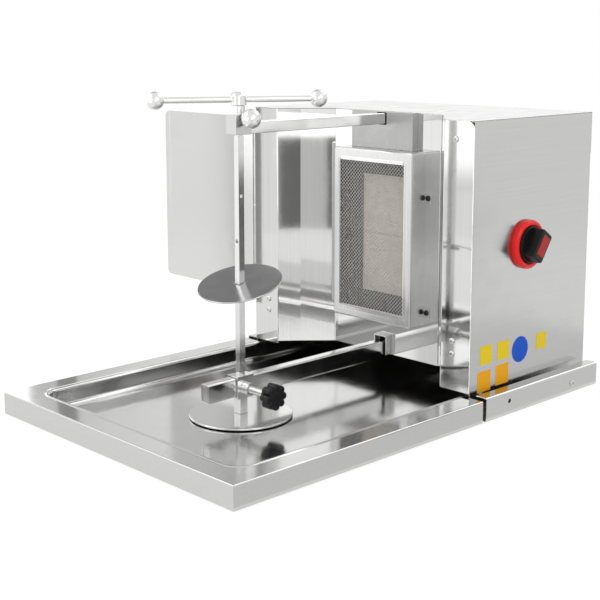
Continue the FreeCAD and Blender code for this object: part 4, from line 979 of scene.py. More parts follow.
@dataclass
class Studio:
    """White floor, soft light and the camera of the product picture."""

    camera_place: tuple[float, float, float] = (0.916, -1.067, 0.395)
    camera_tilt: float = 80.90
    camera_turn: float = 46.21
    lens: float = 72.48
    rise: float = -0.12
    lamp_aim: tuple[float, float, float] = (0, -0.15, 0.15)
    floor_half: float = 1.15
    floor_glow: float = 0.82
    floor_tint: float = 0.25
    floor_tone: float = 0.85
    sky: float = 0.72
    mat: tuple[float, float, float, float] = (0.192, -0.65, 0.42, 0.3)
    mat_height: float = 0.3 * MM
    mat_level: float = 0.83

    def build(self) -> None:
        """Builds the floor, the world, the mat, the boards, the lamps and the camera."""
        self.build_floor()
        self.build_world()
        left, front, right, back = self.mat
        corners = [(x, y, self.mat_height) for x, y in rectangle((left, front), (right, back), 0)]
        self.build_card("grey_mat", corners, (self.mat_level, self.mat_level), (0.0, 0.01))
        for board in STUDIO_BOARDS:
            self.build_card(board.name, board.corners(), board.levels, board.fade)
        self.build_lamps()
        self.build_camera()

    def build_floor(self) -> None:
        """Lays a round white floor that keeps a faint shadow."""
        mesh = bmesh.new()
        bmesh.ops.create_circle(mesh, cap_ends=True, radius=self.floor_half, segments=96)
        floor = piece_from("studio_floor", mesh, closed=False)
        recipe = Recipe("studio_floor")
        recipe.feed(Base_Color=(*[self.floor_tint] * 3, 1.0), Roughness=0.9, Specular_IOR_Level=0.0)
        tree = recipe.tree
        rays = tree.nodes.new("ShaderNodeLightPath").outputs
        seen = maths(tree, "MAXIMUM", self.straight(tree, rays), rays["Is Glossy Ray"])
        glow, matt = recipe.glow(self.floor_glow), recipe.shader.outputs[0]
        lit = add_node(tree, "ShaderNodeAddShader", {0: glow, 1: matt})
        plain = add_node(tree, "ShaderNodeBsdfDiffuse", {"Color": (*[self.floor_tone] * 3, 1.0)})
        mixed = add_node(tree, "ShaderNodeMixShader", {0: seen, 1: plain, 2: lit})
        floor.data.materials.append(recipe.show(mixed))

    @staticmethod
    def choose(tree: Tree, mask: Socket, first: object, second: object) -> Socket:
        """The first number where a mask is 0, the second where it is 1."""
        return add_node(tree, "ShaderNodeMix", {"Factor": mask, 2: first, 3: second}, data_type="FLOAT")

    @staticmethod
    def straight(tree: Tree, rays: bpy.types.NodeOutputs) -> Socket:
        """Mask of the rays that come straight from the camera or passed through something."""
        return maths(tree, "MAXIMUM", rays["Is Camera Ray"], rays["Is Transmission Ray"])

    def build_world(self) -> None:
        """Lights the grill evenly and shows white behind it, with patches for the metal to mirror."""
        world = bpy.data.worlds.new("studio_world")
        bpy.context.scene.world = world
        world.use_nodes = True
        tree = world.node_tree
        rays = tree.nodes.new("ShaderNodeLightPath").outputs
        even = self.choose(tree, rays["Is Glossy Ray"], self.sky, self.mirrored_sky(tree))
        level = self.choose(tree, self.straight(tree, rays), even, 1.0)
        background = tree.nodes["Background"].inputs
        put(tree, background["Color"], WHITE)
        put(tree, background["Strength"], level)

    @staticmethod
    def mirrored_sky(tree: Tree) -> Socket:
        """Level of the studio's walls and ceiling as the metal mirrors them.

        Args:
            tree: The world's tree.

        Returns:
            White, made lighter or darker by the sky patches.
        """
        direction = add_node(tree, "ShaderNodeTexCoord", {}, "Generated")
        x, y, z = add_node(tree, "ShaderNodeSeparateXYZ", {0: direction}).node.outputs
        turn, rise = maths(tree, "ARCTAN2", y, x), maths(tree, "ARCSINE", z)
        total: object = 1.0
        for patch in SKY_PATCHES:
            spans = (turn, patch.turn, patch.half_turn), (rise, patch.rise, patch.half_rise)
            masks = []
            for angle, middle, half in spans:
                far = maths(tree, "ABSOLUTE", maths(tree, "SUBTRACT", angle, math.radians(middle)))
                ends = math.radians(half + patch.blur), math.radians(half - patch.blur)
                masks.append(remap(tree, far, *ends, interpolation_type="SMOOTHSTEP"))
            total = maths(tree, "MULTIPLY_ADD", maths(tree, "MULTIPLY", *masks), patch.change, total)
        return total

    @staticmethod
    def build_card(name: str, corners: Sequence[Vector], levels: Pair, fade: Pair) -> None:
        """Adds a glowing card that only shiny surfaces see.

        Args:
            name: Name of the card.
            corners: Its corners.
            levels: Its brightness below and above the fade.
            fade: Heights at which the fade starts and ends.
        """
        mesh = bmesh.new()
        mesh.faces.new([mesh.verts.new(corner) for corner in corners])
        card = piece_from(name, mesh, closed=False)
        recipe = Recipe(name)
        height = add_node(recipe.tree, "ShaderNodeSeparateXYZ", {0: recipe.spot}, 2)
        level = remap(recipe.tree, height, *fade, *levels, interpolation_type="SMOOTHSTEP")
        card.data.materials.append(recipe.show(recipe.glow(level)))
        for rays in ("camera", "diffuse", "transmission", "shadow"):
            setattr(card, f"visible_{rays}", False)

    def build_lamps(self) -> None:
        """Hangs the soft lamps round the grill."""
        for lamp in STUDIO_LAMPS:
            data = bpy.data.lights.new(lamp.name, "AREA")
            data.shape = "RECTANGLE"
            data.size, data.size_y = lamp.width, lamp.height
            data.energy = lamp.power
            piece = placed(lamp.name, data)
            piece.location = lamp.place
            toward = Vector(self.lamp_aim) - Vector(lamp.place)
            piece.rotation_euler = toward.to_track_quat("-Z", "Y").to_euler()

    def build_camera(self) -> None:
        """Sets up the camera of the product picture."""
        data = bpy.data.cameras.new("camera")
        data.lens = self.lens
        data.shift_y = self.rise
        camera = placed("camera", data)
        camera.location = self.camera_place
        camera.rotation_euler = (math.radians(self.camera_tilt), 0, math.radians(self.camera_turn))
        bpy.context.scene.camera = camera
        bpy.context.scene.view_settings.view_transform = "Standard"


# Sub-assemblies


@dataclass
class DripTray:
    """Sheet tray with a deep recess and a tail under the housing."""

    sheet: float = 1.0 * MM
    fold: float = 1.4 * MM
    hem: float = 0.6 * MM
    skirt_foot: float = 3.0 * MM
    convex_share: float = 0.9
    tail_gap: float = 2.5 * MM
    front_gap: float = 0.6 * MM
    tail_lift: float = 1.6 * MM
    rim_round: float = 3.0 * MM
    groove: float = 0.7 * MM
    groove_reach: float = 5.5 * MM
    groove_line: tuple[Pair, ...] = (
        (1.5, 0.0), (1.1, 0.15), (0.7, 0.85), (0.2, 1.0), (-0.4, 0.85), (-1.0, 0.15), (-1.5, 0.0),
    )
    draft: float = 1.2 * MM
    foot_round: float = 5.0 * MM
    recess_corner: float = 17.0 * MM
    narrowing: float = 0.4
    narrow_from: float = 8.0 * MM
    narrow_to: float = 3.0 * MM

    def __post_init__(self) -> None:
        """Reads the room of the tray and its recess, and where the tail starts."""
        self.nodes = ("tray_skirt", "tray_deck", "tray_well")
        self.whole, self.well = Box.of(*self.nodes), Box.of("tray_well")
        self.step = Box.of("reflector").low.y - self.front_gap

    def build(self) -> None:
        """Builds the tray as one folded and pressed sheet."""
        mesh = bmesh.new()
        outside = bridge(mesh, self.skirt_rings())
        recess = bridge(mesh, self.recess_rings())
        fill_flat(mesh, outside[-1], recess[0])
        fill_flat(mesh, recess[-1])
        turn_out(mesh, UP)
        tray = thicken(piece_from("drip_tray", mesh, closed=False), self.sheet)
        Dresser.fit(soften(tray, 0.2 * MM, angle=50), "tray", "stainless_tray", *self.nodes)

    def outline(self, inset: float) -> Line:
        """Plan of the wide part and the tail.

        Args:
            inset: How far the plan lies inside the tray's outside.

        Returns:
            The line round the tray.
        """
        wide = self.whole.high.x - inset
        tail = Box.of("base_plate").high.x - self.tail_gap - inset
        front, back, step = self.whole.low.y + inset, self.whole.high.y - inset, self.step - inset
        convex, hollow = self.fold - inset * self.convex_share, self.fold + inset
        corners = [(-wide, front, convex), (wide, front, convex), (wide, step, convex), (tail, step, hollow),
                   (tail, back, convex), (-tail, back, convex), (-tail, step, hollow), (-wide, step, convex)]
        return rounded(corners, self.fold, steps=4)

    def skirt_rings(self) -> list[Line]:
        """Rings from the skirt's hem to the edge of the deck."""
        tail, foot, top = Box.of("base_plate").high.x, self.whole.low.z, self.whole.high.z
        section = [(self.hem, foot + self.hem), (0.0, foot + self.hem), (0.0, foot + self.skirt_foot)]
        rings = []
        for inset, height in section + sweep((self.fold, top - self.fold), self.fold, 180, 90):
            ring = []
            for spot in self.outline(inset):
                on_tail = abs(spot.x) < tail and spot.y > self.step - self.fold
                lift = self.tail_lift if on_tail and height < top / 2 else 0.0
                ring.append(Vector((spot.x, spot.y, height + lift)))
            rings.append(ring)
        return rings

    def recess_rings(self) -> list[Line]:
        """Rings from the deck past the pressed groove and down the recess to its floor."""
        top, floor = self.whole.high.z, self.well.low.z + self.sheet
        section = [(self.groove_reach + reach * MM, top - share * self.groove)
                   for reach, share in self.groove_line]
        section += sweep((self.rim_round, top - self.rim_round), self.rim_round, 90, 180)
        section += sweep((-self.draft - self.foot_round, floor + self.foot_round), self.foot_round, 0, -90)
        return [[Vector((*spot, height)) for spot in self.recess_plan(out)] for out, height in section]

    def recess_plan(self, out: float) -> Line:
        """Plan of the recess, moved outwards, whose rim is narrower beside the tail.

        Args:
            out: How far the line lies outside the recess.

        Returns:
            The line, from the front left corner round to the step on the left.
        """
        side, less = self.well.high.x - self.sheet + out, max(out, 0.0) * self.narrowing
        front, back = self.well.low.y + self.sheet - out, self.well.high.y - self.sheet + out
        plan = rectangle((-side, front), (side, back), self.recess_corner + out, 10)
        bend = [Vector((side, self.step - self.narrow_from)),
                Vector((side - less, self.step - self.narrow_to))]
        rear = [Vector((spot.x - math.copysign(less, spot.x), spot.y)) for spot in plan if spot.y > self.step]
        return ([spot for spot in plan if spot.y < self.step] + bend + rear
                + [Vector((-spot.x, spot.y)) for spot in reversed(bend)])


@dataclass
class HousingShell:
    """Base plate, side panels, rear panel and top cover."""

    edge: float = 0.4 * MM

    def build(self) -> None:
        """Dresses the shell's sheets."""
        # Painted shade lines: the panel and roof finishes darken their edges to 0.2 and 0.1 of their colour.
        panel = Metal(steel(0.555), 0.2, Brush.ALONG_Y, wave_depth=0.12 * MM, waves=9.0, edge_share=0.2)
        roof = Metal(steel(0.60), 0.2, wave_depth=0.12 * MM, waves=9.0, edge_share=0.1)
        Dresser.refine("stainless_sheet", self.edge, "side_panel_right", "side_panel_left", "rear_panel",
                       finish=panel)
        Dresser.refine("stainless_sheet", self.edge, "top_cover", finish=roof)
        Dresser.refine("stainless_sheet", self.edge, "base_plate", "bar_bracket", "arm_guide")


@dataclass
class Rails:
    """Folded rails beside the housing."""

    sheet: float = 1.2 * MM
    fold: float = 2.2 * MM
    lip: float = 14.0 * MM
    hole: float = 2.5 * MM
    hole_reach: float = 39.5 * MM
    hole_height: float = 15.0 * MM
    tool_half: float = 3.0 * MM

    def build(self) -> None:
        """Builds the right rail and its twin."""
        low, high = Box.of("side_rail_right").low, Box.of("side_rail_right").high
        section = rounded([(high.x - self.lip, high.z), (high.x, high.z), (high.x, low.z), (low.x, low.z)],
                          self.fold, closed=False)
        right = sheet_piece("rail_right", section, (low.y, high.y), Axis.Y, self.sheet)
        hole = circle((low.y + self.hole_reach, self.hole_height), self.hole, 32)
        ends = high.x - self.tool_half, high.x + self.tool_half
        carve(right, prism_piece("hole_tool", [hole], ends, Axis.X))
        finish = Metal(steel(0.60), 0.2, Brush.ALONG_Y)
        for rail, node in ((right, "side_rail_right"), (mirrored(right, "rail_left"), "side_rail_left")):
            Dresser.fit(soften(rail, 0.3 * MM), "housing", "stainless_sheet", node, finish=finish)


@dataclass
class Reflector:
    """Bent reflector in front of the housing, with its flanges, its openings and the arched collar."""

    sheet: float = 1.0 * MM
    bend: float = 2.5 * MM
    flange: float = 39.0 * MM
    fold_inset: float = 17.5 * MM
    fold_depth: float = 21.0 * MM
    cavity_half: float = 80.0 * MM
    rise: float = 3.0 * MM
    corner: float = 8.0 * MM
    window_margin: float = 1.4 * MM
    way_gap: float = 1.0 * MM
    bar_gap: float = 2.0 * MM
    collar_lap: float = 2.0 * MM

    def build(self) -> None:
        """Builds the bent sheet and dresses the collar."""
        low, high = Box.of("reflector").low, Box.of("reflector").high
        window, collar, arm = Box.of("burner_box"), Box.of("bar_collar"), Box.of("upper_arm")
        inner, back = high.x - self.flange, collar.high.y
        window_half = window.high.x + self.window_margin
        bar_half, arm_half = Box.of("lower_bar").high.x + self.bar_gap, arm.high.x + self.way_gap
        right = [(high.x - off, low.y) for off in corner_steps(self.corner)]
        right += [(inner, low.y), (inner - self.fold_inset, low.y + self.fold_depth)]
        right += [(x, back) for x in (self.cavity_half, window_half, bar_half, arm_half)]
        line = rounded([(-x, y) for x, y in right] + right[::-1], self.bend, closed=False, steps=6)
        rows = [low.z, low.z + self.rise, collar.high.z - self.collar_lap, window.low.z - self.window_margin,
                window.high.z + self.window_margin, arm.low.z - self.way_gap, high.z]
        openings = ((inner, low.z, rows[1]), (bar_half, low.z, rows[2]), (window_half, rows[3], rows[4]),
                    (arm_half, rows[5], high.z))

        def opening(spot: Vector, height: float) -> bool:
            """Whether a face of the sheet is cut away."""
            return any(abs(spot.x) < half and foot < height < top for half, foot, top in openings)

        def reach(spot: Vector) -> Pair:
            """Lowest and highest place of the sheet, round at its upper corners."""
            return low.z, high.z - corner_cut(high.x - abs(spot.x), self.corner)

        sheet = sheet_piece("reflector_sheet", line, rows, Axis.Z, self.sheet, opening, reach)
        Dresser.fit(soften(sheet, 0.3 * MM, angle=50), "housing", "bright_reflector", "reflector")
        Dresser.refine("stainless_sheet", 0.8 * MM, "bar_collar", finish=Metal(steel(0.66), 0.4))


@dataclass
class Burner:
    """Infrared burner: frame, woven mesh, ceramic tiles, box and hanger."""

    frame_side: float = 10.0 * MM
    frame_end: float = 13.0 * MM
    frame_round: float = 2.0 * MM
    opening_round: float = 1.5 * MM
    sheet: float = 1.0 * MM
    sheet_share: float = 0.9
    wire: float = 0.62 * MM
    pitch: float = 3.1 * MM

    def build(self) -> None:
        """Builds the frame and the mesh, and dresses the rest."""
        self.build_frame()
        self.build_mesh()
        Dresser.refine("ceramic", 0.4 * MM, "ceramic_tiles")
        Dresser.refine("gasket_fibre", 0.3 * MM, "tile_gasket")
        Dresser.refine("stainless_sheet", 0.4 * MM, "burner_box",
                       finish=Metal(steel(0.60), 0.07, Brush.ALONG_Z, wave_depth=0.04 * MM))
        Dresser.refine("stainless_sheet", 0.4 * MM, "burner_hanger", finish=Metal(steel(0.38), 0.3))
        Dresser.refine("stainless_sheet", 0.3 * MM, "burner_lugs")

    def build_frame(self) -> None:
        """Builds the frame as a pressed pan with an opening."""
        low, high = Box.of("burner_frame").low, Box.of("burner_frame").high

        def ring(side: float, end: float, y: float, corner: float) -> Line:
            """Upright rounded rectangle, inset from the frame's sides and ends."""
            plan = rectangle((side - high.x, low.z + end), (high.x - side, high.z - end), corner, 4)
            return [Vector((spot.x, y, spot.y)) for spot in plan]

        fold, edge = self.frame_round, self.opening_round
        rings = [ring(0, 0, high.y, fold)]
        rings += [ring(inset, inset, low.y + depth, fold)
                  for inset, depth in sweep((fold, fold), fold, 180, 270)]
        lips = [ring(self.frame_side - out, self.frame_end - out, low.y + depth, edge)
                for out, depth in sweep((-self.sheet, self.sheet), self.sheet, -90, 0, 3)]
        mesh = bmesh.new()
        outside, inside = bridge(mesh, rings), bridge(mesh, lips)
        fill_flat(mesh, outside[-1], inside[0])
        turn_out(mesh, FORWARD)
        pan = thicken(piece_from("burner_pan", mesh, closed=False), self.sheet * self.sheet_share)
        Dresser.fit(soften(pan, 0.15 * MM, angle=50), "housing", "stainless_sheet", "burner_frame")

    def build_mesh(self) -> None:
        """Weaves the wire mesh in front of the tiles, with its wires at 45 degrees."""
        space = Box.of("burner_mesh")
        half = space.size / 2
        mesh = bmesh.new()
        spread = self.pitch * math.sqrt(2)
        count = int((half.x + half.z) / spread)
        for number in range(-count, count + 1):
            for lean in (1, -1):
                offset = number * spread
                ends = sorted(((-half.z - offset) * lean, (half.z - offset) * lean))
                low, high = max(-half.x, ends[0]), min(half.x, ends[1])
                if high - low > self.pitch / 2:
                    add_stack(mesh, self.wire_rings(space.centre, (low, high), lean, number))
        woven = piece_from("woven_mesh", mesh, closed=False)
        woven.data.shade_smooth()
        Dresser.fit(woven, "housing", "wire_mesh", "burner_mesh")

    def wire_rings(self, middle: Vector, ends: Pair, lean: int, number: int) -> list[Line]:
        """Rings of one wire, which goes over and under those that cross it.

        Args:
            middle: Middle of the mesh.
            ends: Where the wire starts and ends across the mesh.
            lean: 1 where it rises towards +X, otherwise -1.
            number: Its count from the middle.

        Returns:
            Four points round each place along the wire.
        """
        spread, step = self.pitch * math.sqrt(2), self.pitch / math.sqrt(2) / 2
        offset = number * spread
        line = []
        for count in range(math.ceil(ends[0] / step), math.floor(ends[1] / step) + 1):
            x = count * step
            z = offset + lean * x
            sway = self.wire / 2 * lean * math.cos(math.pi * ((z + lean * x) / spread + number))
            line.append(middle + Vector((x, sway, z)))
        depth = Vector((0, self.wire / 2, 0))
        side = depth.cross((line[-1] - line[0]).normalized())
        return [[spot + side, spot + depth, spot - side, spot - depth] for spot in line]


@dataclass
class GasSupply:
    """Valve, pipes, injector and mixing tube behind the reflector."""

    edge: float = 0.25 * MM

    def build(self) -> None:
        """Dresses the gas parts."""
        Dresser.refine("plated_steel", self.edge, "mixing_tube")
        Dresser.refine("brass_fitting", self.edge, "gas_injector", "gas_valve", "gas_inlet")
        Dresser.refine("copper_pipe", self.edge, "inlet_pipe", "burner_pipe", "thermocouple")


@dataclass
class GasKnob:
    """Red bezel, black knob with its grip bar, and the red pointer."""

    bore: float = 20.3 * MM
    play: float = 0.5 * MM
    gap: float = 0.5 * MM
    disc_radius: float = 19.5 * MM
    disc_thick: float = 1.0 * MM
    grip_sunk: float = 0.8 * MM
    grip_size: tuple[float, float, float] = (17.0 * MM, 9.5 * MM, 2.2 * MM)
    grip_turn: float = 55.0
    pointer_size: tuple[float, float, float] = (11.5 * MM, 6.0 * MM, 1.0 * MM)
    around: int = 96

    def __post_init__(self) -> None:
        """Reads the room of the bezel and the knob's turning axis."""
        self.bezel = Box.of("knob_bezel")
        self.middle = Vector((0, self.bezel.centre.y, self.bezel.centre.z))
        self.place = turned_to(self.middle, Vector((1, 0, 0)))

    def build(self) -> None:
        """Builds the bezel, the knob, the pointer and the spindle."""
        self.build_bezel()
        self.build_knob()
        self.build_pointer()
        Dresser.refine("brass_fitting", 0.3 * MM, "valve_spindle")

    def build_bezel(self) -> None:
        """Turns the red ring with a rounded rim and a shallow step."""
        bore, radius, low, high = self.bore, self.bezel.size.z / 2, self.bezel.low.x, self.bezel.high.x
        corners = [(bore, low), (radius, low), (radius, high - 2.4 * MM, 2.2 * MM),
                   (radius - 2.6 * MM, high, 1.2 * MM), (bore + 1.4 * MM, high, 0.6 * MM),
                   (bore, high - 1.2 * MM, 0.5 * MM)]
        ring = lathe_piece("red_bezel", rounded(corners, 0.3 * MM), self.place, self.around, ring=True)
        Dresser.fit(ring, "housing", "red_plastic", "knob_bezel")

    def build_knob(self) -> None:
        """Turns the hub and disc, and sets the grip bar on them."""
        low, high = Box.of("knob_grip").low.x, Box.of("knob_grip").high.x
        face = self.bezel.high.x + self.gap
        hub, disc, top = self.bore - self.play, self.disc_radius, face + self.disc_thick
        corners = [(0.0, low), (hub, low), (hub, face - 0.6 * MM), (disc, face - 0.3 * MM),
                   (disc, top, 0.6 * MM), (0.0, top)]
        mesh = bmesh.new()
        add_lathe(mesh, rounded(corners, 0.3 * MM, closed=False), self.around, self.place)
        start = top - self.grip_sunk
        sections = ((0.0, start), (0.0, start + 2 * MM), (0.5 * MM, high - 2 * MM),
                    (0.8 * MM, high - 0.9 * MM), (1.3 * MM, high - 0.25 * MM), (2.0 * MM, high))
        add_stack(mesh, self.block(sections, self.grip_size, 6))
        Dresser.fit(soften(piece_from("gas_knob", mesh)), "knob", "black_plastic", "knob_grip")

    def build_pointer(self) -> None:
        """Sets the red pointer in the grip bar."""
        low, high = Box.of("knob_insert").low.x, Box.of("knob_insert").high.x
        sections = ((0.0, low), (0.0, high - 0.4 * MM), (0.12 * MM, high - 0.12 * MM), (0.4 * MM, high))
        mesh = bmesh.new()
        add_stack(mesh, self.block(sections, self.pointer_size, 5))
        Dresser.fit(soften(piece_from("red_pointer", mesh)), "knob", "red_plastic", "knob_insert",
                    finish=Moulded((0.42, 0.025, 0.022), 0.4, shine=0.2))

    def block(self, sections: Sequence[Pair], size: tuple[float, float, float], steps: int) -> list[Line]:
        """Rings of a block that stands on the knob and is turned with its grip.

        Args:
            sections: Inset and place of each ring.
            size: Half length, half width and corner radius.
            steps: Pieces of each corner.

        Returns:
            The rings.
        """
        reach, half, corner = size
        turn = Matrix.Rotation(math.radians(self.grip_turn), 2)
        rings = []
        for inset, x in sections:
            plan = rectangle((inset - reach, inset - half), (reach - inset, half - inset), corner, steps)
            rings.append([self.middle + Vector((x, *(turn @ spot))) for spot in plan])
        return rings


@dataclass
class Carriage:
    """Lower bar, carriage with its foot, and the star knob that clamps it."""

    wall: float = 1.5 * MM
    bar_corner: float = 1.8 * MM
    inner_corner: float = 0.7 * MM
    plug_sunk: float = 0.8 * MM
    plug_thick: float = 2.0 * MM
    plug_gap: float = 0.05 * MM
    core: float = 10.0 * MM
    ring: float = 9.6 * MM
    lobe: float = 4.1 * MM
    lobes: int = 8
    lobe_steps: int = 16
    neck: float = 6.5 * MM
    neck_length: float = 5.0 * MM

    def build(self) -> None:
        """Builds the bar, the star knob and the foot, and dresses the carriage."""
        self.build_bar()
        self.build_star()
        self.build_foot()
        Dresser.refine("stainless_bar", 0.5 * MM, "carriage_sleeve")
        Dresser.refine("stainless_bar", 0.6 * MM, "clamp_nut")
        Dresser.refine("plated_steel", 0.5 * MM, "clamp_stud")
        Dresser.refine("stainless_bar", 0.4 * MM, "foot_post")
        Dresser.refine("stainless_bar", 0.3 * MM, "pivot_stud")

    def build_bar(self) -> None:
        """Draws the hollow bar out along its length, with a plug in its front end."""
        low, high = Box.of("lower_bar").low, Box.of("lower_bar").high
        loops = [rectangle((low.x + inset, low.z + inset), (high.x - inset, high.z - inset), corner)
                 for inset, corner in ((0.0, self.bar_corner), (self.wall, self.inner_corner))]
        bar = prism_piece("hollow_bar", loops, (low.y, high.y), Axis.Y)
        finish = Metal(steel(0.68), 0.15, Brush.ALONG_Y, wave_depth=0.02 * MM)
        Dresser.fit(soften(bar, 0.25 * MM), "housing", "stainless_bar", "lower_bar", finish=finish)
        inset = Vector((1, 0, 1)) * (self.wall + self.plug_gap)
        start = low + inset + Vector((0, self.plug_sunk, 0))
        end = Vector((high.x, low.y + self.plug_sunk + self.plug_thick, high.z)) - inset
        mesh = bmesh.new()
        corners = bmesh.ops.create_cube(mesh, size=1.0)["verts"]
        size = end - start
        for corner in corners:
            corner.co = Vector([start[axis] + (corner.co[axis] + 0.5) * size[axis] for axis in range(3)])
        bmesh.ops.bevel(mesh, geom=mesh.edges[:], offset=0.5 * MM, segments=3, profile=0.5, affect="EDGES")
        Dresser.fit(soften(piece_from("bar_plug", mesh)), "housing", "plated_steel")

    def star_outline(self, inset: float) -> Line:
        """Outline of the star knob.

        Args:
            inset: How far it lies inside the knob's widest outline.

        Returns:
            The line round the lobes.
        """
        plan = []
        part, lobe = 2 * math.pi / self.lobes, self.lobe - inset
        for index in range(self.lobes * self.lobe_steps):
            turn = part * index / self.lobe_steps
            off = turn - round(turn / part) * part
            across = self.ring * math.sin(off)
            reach = self.core - inset
            if abs(across) < lobe:
                reach = max(reach, self.ring * math.cos(off) + math.sqrt(lobe ** 2 - across ** 2))
            plan.append(Vector((reach * math.cos(turn), reach * math.sin(turn))))
        return plan

    def build_star(self) -> None:
        """Builds the star knob with rounded lobes and a neck."""
        space = Box.of("star_knob")
        low, high = space.low.x, space.high.x
        face, foot_round, top_round = low + self.neck_length, 2.0 * MM, 2.6 * MM
        neck = circle((0, 0), self.neck, self.lobes * self.lobe_steps)
        sections = [(low, neck), (face, neck)]
        sections += [(face + up, self.star_outline(inset))
                     for inset, up in sweep((foot_round, foot_round), foot_round, 270, 180)]
        tops = sweep((top_round, top_round), top_round, 180, 270)
        tops += [(4.8 * MM, 0.2 * MM), (5.2 * MM, 0.7 * MM)]
        sections += [(high - down, self.star_outline(inset)) for inset, down in tops]
        mesh = bmesh.new()
        add_stack(mesh, [[Vector((x, space.centre.y + spot.x, space.centre.z + spot.y)) for spot in plan]
                         for x, plan in sections])
        Dresser.fit(soften(piece_from("star_grip", mesh)), "star", "black_plastic", "star_knob")

    def build_foot(self) -> None:
        """Turns the foot disc with a rounded edge."""
        space = Box.of("foot_disc")
        radius, thick = space.size.x / 2, space.size.z
        profile = rounded([(0.0, 0.0), (radius, 0.0), (radius, thick), (0.0, thick)], 0.7 * MM, closed=False)
        place = Matrix.Translation((space.centre.x, space.centre.y, space.low.z))
        Dresser.fit(lathe_piece("round_foot", profile, place, 128), "carriage", "polished_disc", "foot_disc")


@dataclass
class Spit:
    """Square spit with its meat disc, cross pin and handle."""

    neck_share: float = 0.8
    neck_length: float = 7.0 * MM
    ball_flat: float = 0.5 * MM

    def build(self) -> None:
        """Dresses the spit and its disc, and builds the handle."""
        Dresser.refine("stainless_bar", 0.5 * MM, "spit_rod")
        Dresser.refine("stainless_bar", 0.4 * MM, "stop_pin")
        Dresser.refine("polished_disc", 0.5 * MM, "meat_disc",
                       finish=Metal((0.55, 0.55, 0.55), 0.2, wave_depth=0.05 * MM))
        self.build_hub()
        Dresser.refine("polished_steel", 0, "handle_bar")
        self.build_balls()

    def build_hub(self) -> None:
        """Turns the handle's hub with its neck and dome."""
        hub = Box.of("handle_hub")
        radius, low, high = hub.size.x / 2, hub.low.z, hub.high.z
        neck, shoulder = radius * self.neck_share, low + self.neck_length
        corners = [(0.0, low), (neck, low, 0.4 * MM), (neck, shoulder, 0.8 * MM),
                   (radius, shoulder + 0.6 * MM, 0.6 * MM), (radius, high - 3.6 * MM, 1.5 * MM),
                   (radius * 0.55, high - 0.4 * MM, 2.5 * MM), (0.0, high)]
        place = Matrix.Translation((hub.centre.x, hub.centre.y, 0))
        boss = lathe_piece("handle_boss", rounded(corners, 0.3 * MM, closed=False), place)
        Dresser.fit(boss, "spit", "polished_steel", "handle_hub")

    def build_balls(self) -> None:
        """Turns the two balls, each with a flat where the bar enters."""
        balls = Box.of("handle_balls")
        radius = balls.size.z / 2
        arc_line = [spot for spot in sweep((0, 0), radius, -90, 90, 40) if spot.y > self.ball_flat - radius]
        profile = [Vector((0, arc_line[0].y)), *arc_line[:-1], Vector((0, radius))]
        reach = Vector((balls.size.x / 2 - radius, balls.size.y / 2 - radius, 0))
        mesh = bmesh.new()
        for toward in (-reach, reach):
            add_lathe(mesh, profile, 64, turned_to(balls.centre + toward, toward))
        Dresser.fit(soften(piece_from("ball_grips", mesh)), "spit", "polished_steel", "handle_balls",
                    finish=Metal(steel(0.74), 0.26, wave_depth=0.0))


@dataclass
class UpperArm:
    """Upper arm with its bearing head and lock knob."""

    edge: float = 0.8 * MM

    def build(self) -> None:
        """Dresses the arm and its head."""
        # Painted shade lines: the arm and head finishes darken their edges to 0.05 of their colour.
        along = Metal(steel(0.74), 0.15, Brush.ALONG_Y, wave_depth=0.02 * MM, edge_share=0.05)
        Dresser.refine("stainless_bar", self.edge, "upper_arm", finish=along)
        head = Metal(steel(0.56), 0.18, edge_share=0.05)
        Dresser.refine("stainless_bar", self.edge, "bearing_head", finish=head)
        Dresser.refine("polished_steel", 0, "lock_knob")


@dataclass
class WindWing:
    """Hinged side sheet with a hem on its outer edge."""

    sheet: float = 1.0 * MM
    strip: float = 24.5 * MM
    jog: float = 2.5 * MM
    jog_round: float = 2.0 * MM
    hem: float = 8.0 * MM
    hem_step: float = 0.35 * MM
    hem_slope: float = 0.8 * MM
    corner: float = 7.0 * MM

    def build(self) -> None:
        """Builds the wing and dresses its hinges."""
        low, high = Box.of("wind_wing").low, Box.of("wind_wing").high
        step, hem = low.y + self.hem_step, low.x + self.hem
        plan = [(low.x, step), (hem, step), (hem + self.hem_slope, low.y),
                (high.x - self.strip, low.y, self.jog_round), (high.x, low.y + self.jog)]
        curve = [Vector((low.x + off, step)) for off in corner_steps(self.corner)[:-1]]
        line = curve + [spot for spot in rounded(plan, 0.4 * MM, closed=False, steps=4)[1:]
                        if spot.x > curve[-1].x + 0.1 * MM]

        def reach(spot: Vector) -> Pair:
            """Lowest and highest place of the sheet, round at its outer corners."""
            cut = corner_cut(spot.x - low.x, self.corner)
            return low.z + cut, high.z - cut

        rows = [low.z, low.z + self.corner, high.z - self.corner, high.z]
        wing = sheet_piece("side_wing", line, rows, Axis.Z, self.sheet, limits=reach)
        # Painted shade lines: the wing's finish darkens its edges to 0.3 of its colour.
        finish = Metal(steel(0.66), 0.22, wave_depth=0.12 * MM, waves=9.0, edge_share=0.3)
        Dresser.fit(soften(wing, 0.25 * MM, angle=50), "wing", "stainless_sheet", "wind_wing", finish=finish)
        Dresser.refine("stainless_sheet", 0.3 * MM, "hinge_leaves_wing", "hinge_leaves_housing")
        Dresser.refine("stainless_bar", 0.2 * MM, "hinge_pins")


@dataclass
class Patches:
    """Plain coloured patches on the right panel."""

    edge: float = 0.08 * MM

    def build(self) -> None:
        """Dresses the patches."""
        Dresser.refine("yellow_patch", self.edge, "patches_yellow")
        Dresser.refine("orange_patch", self.edge, "patches_orange")
        Dresser.refine("blue_patch", self.edge, "patch_blue")


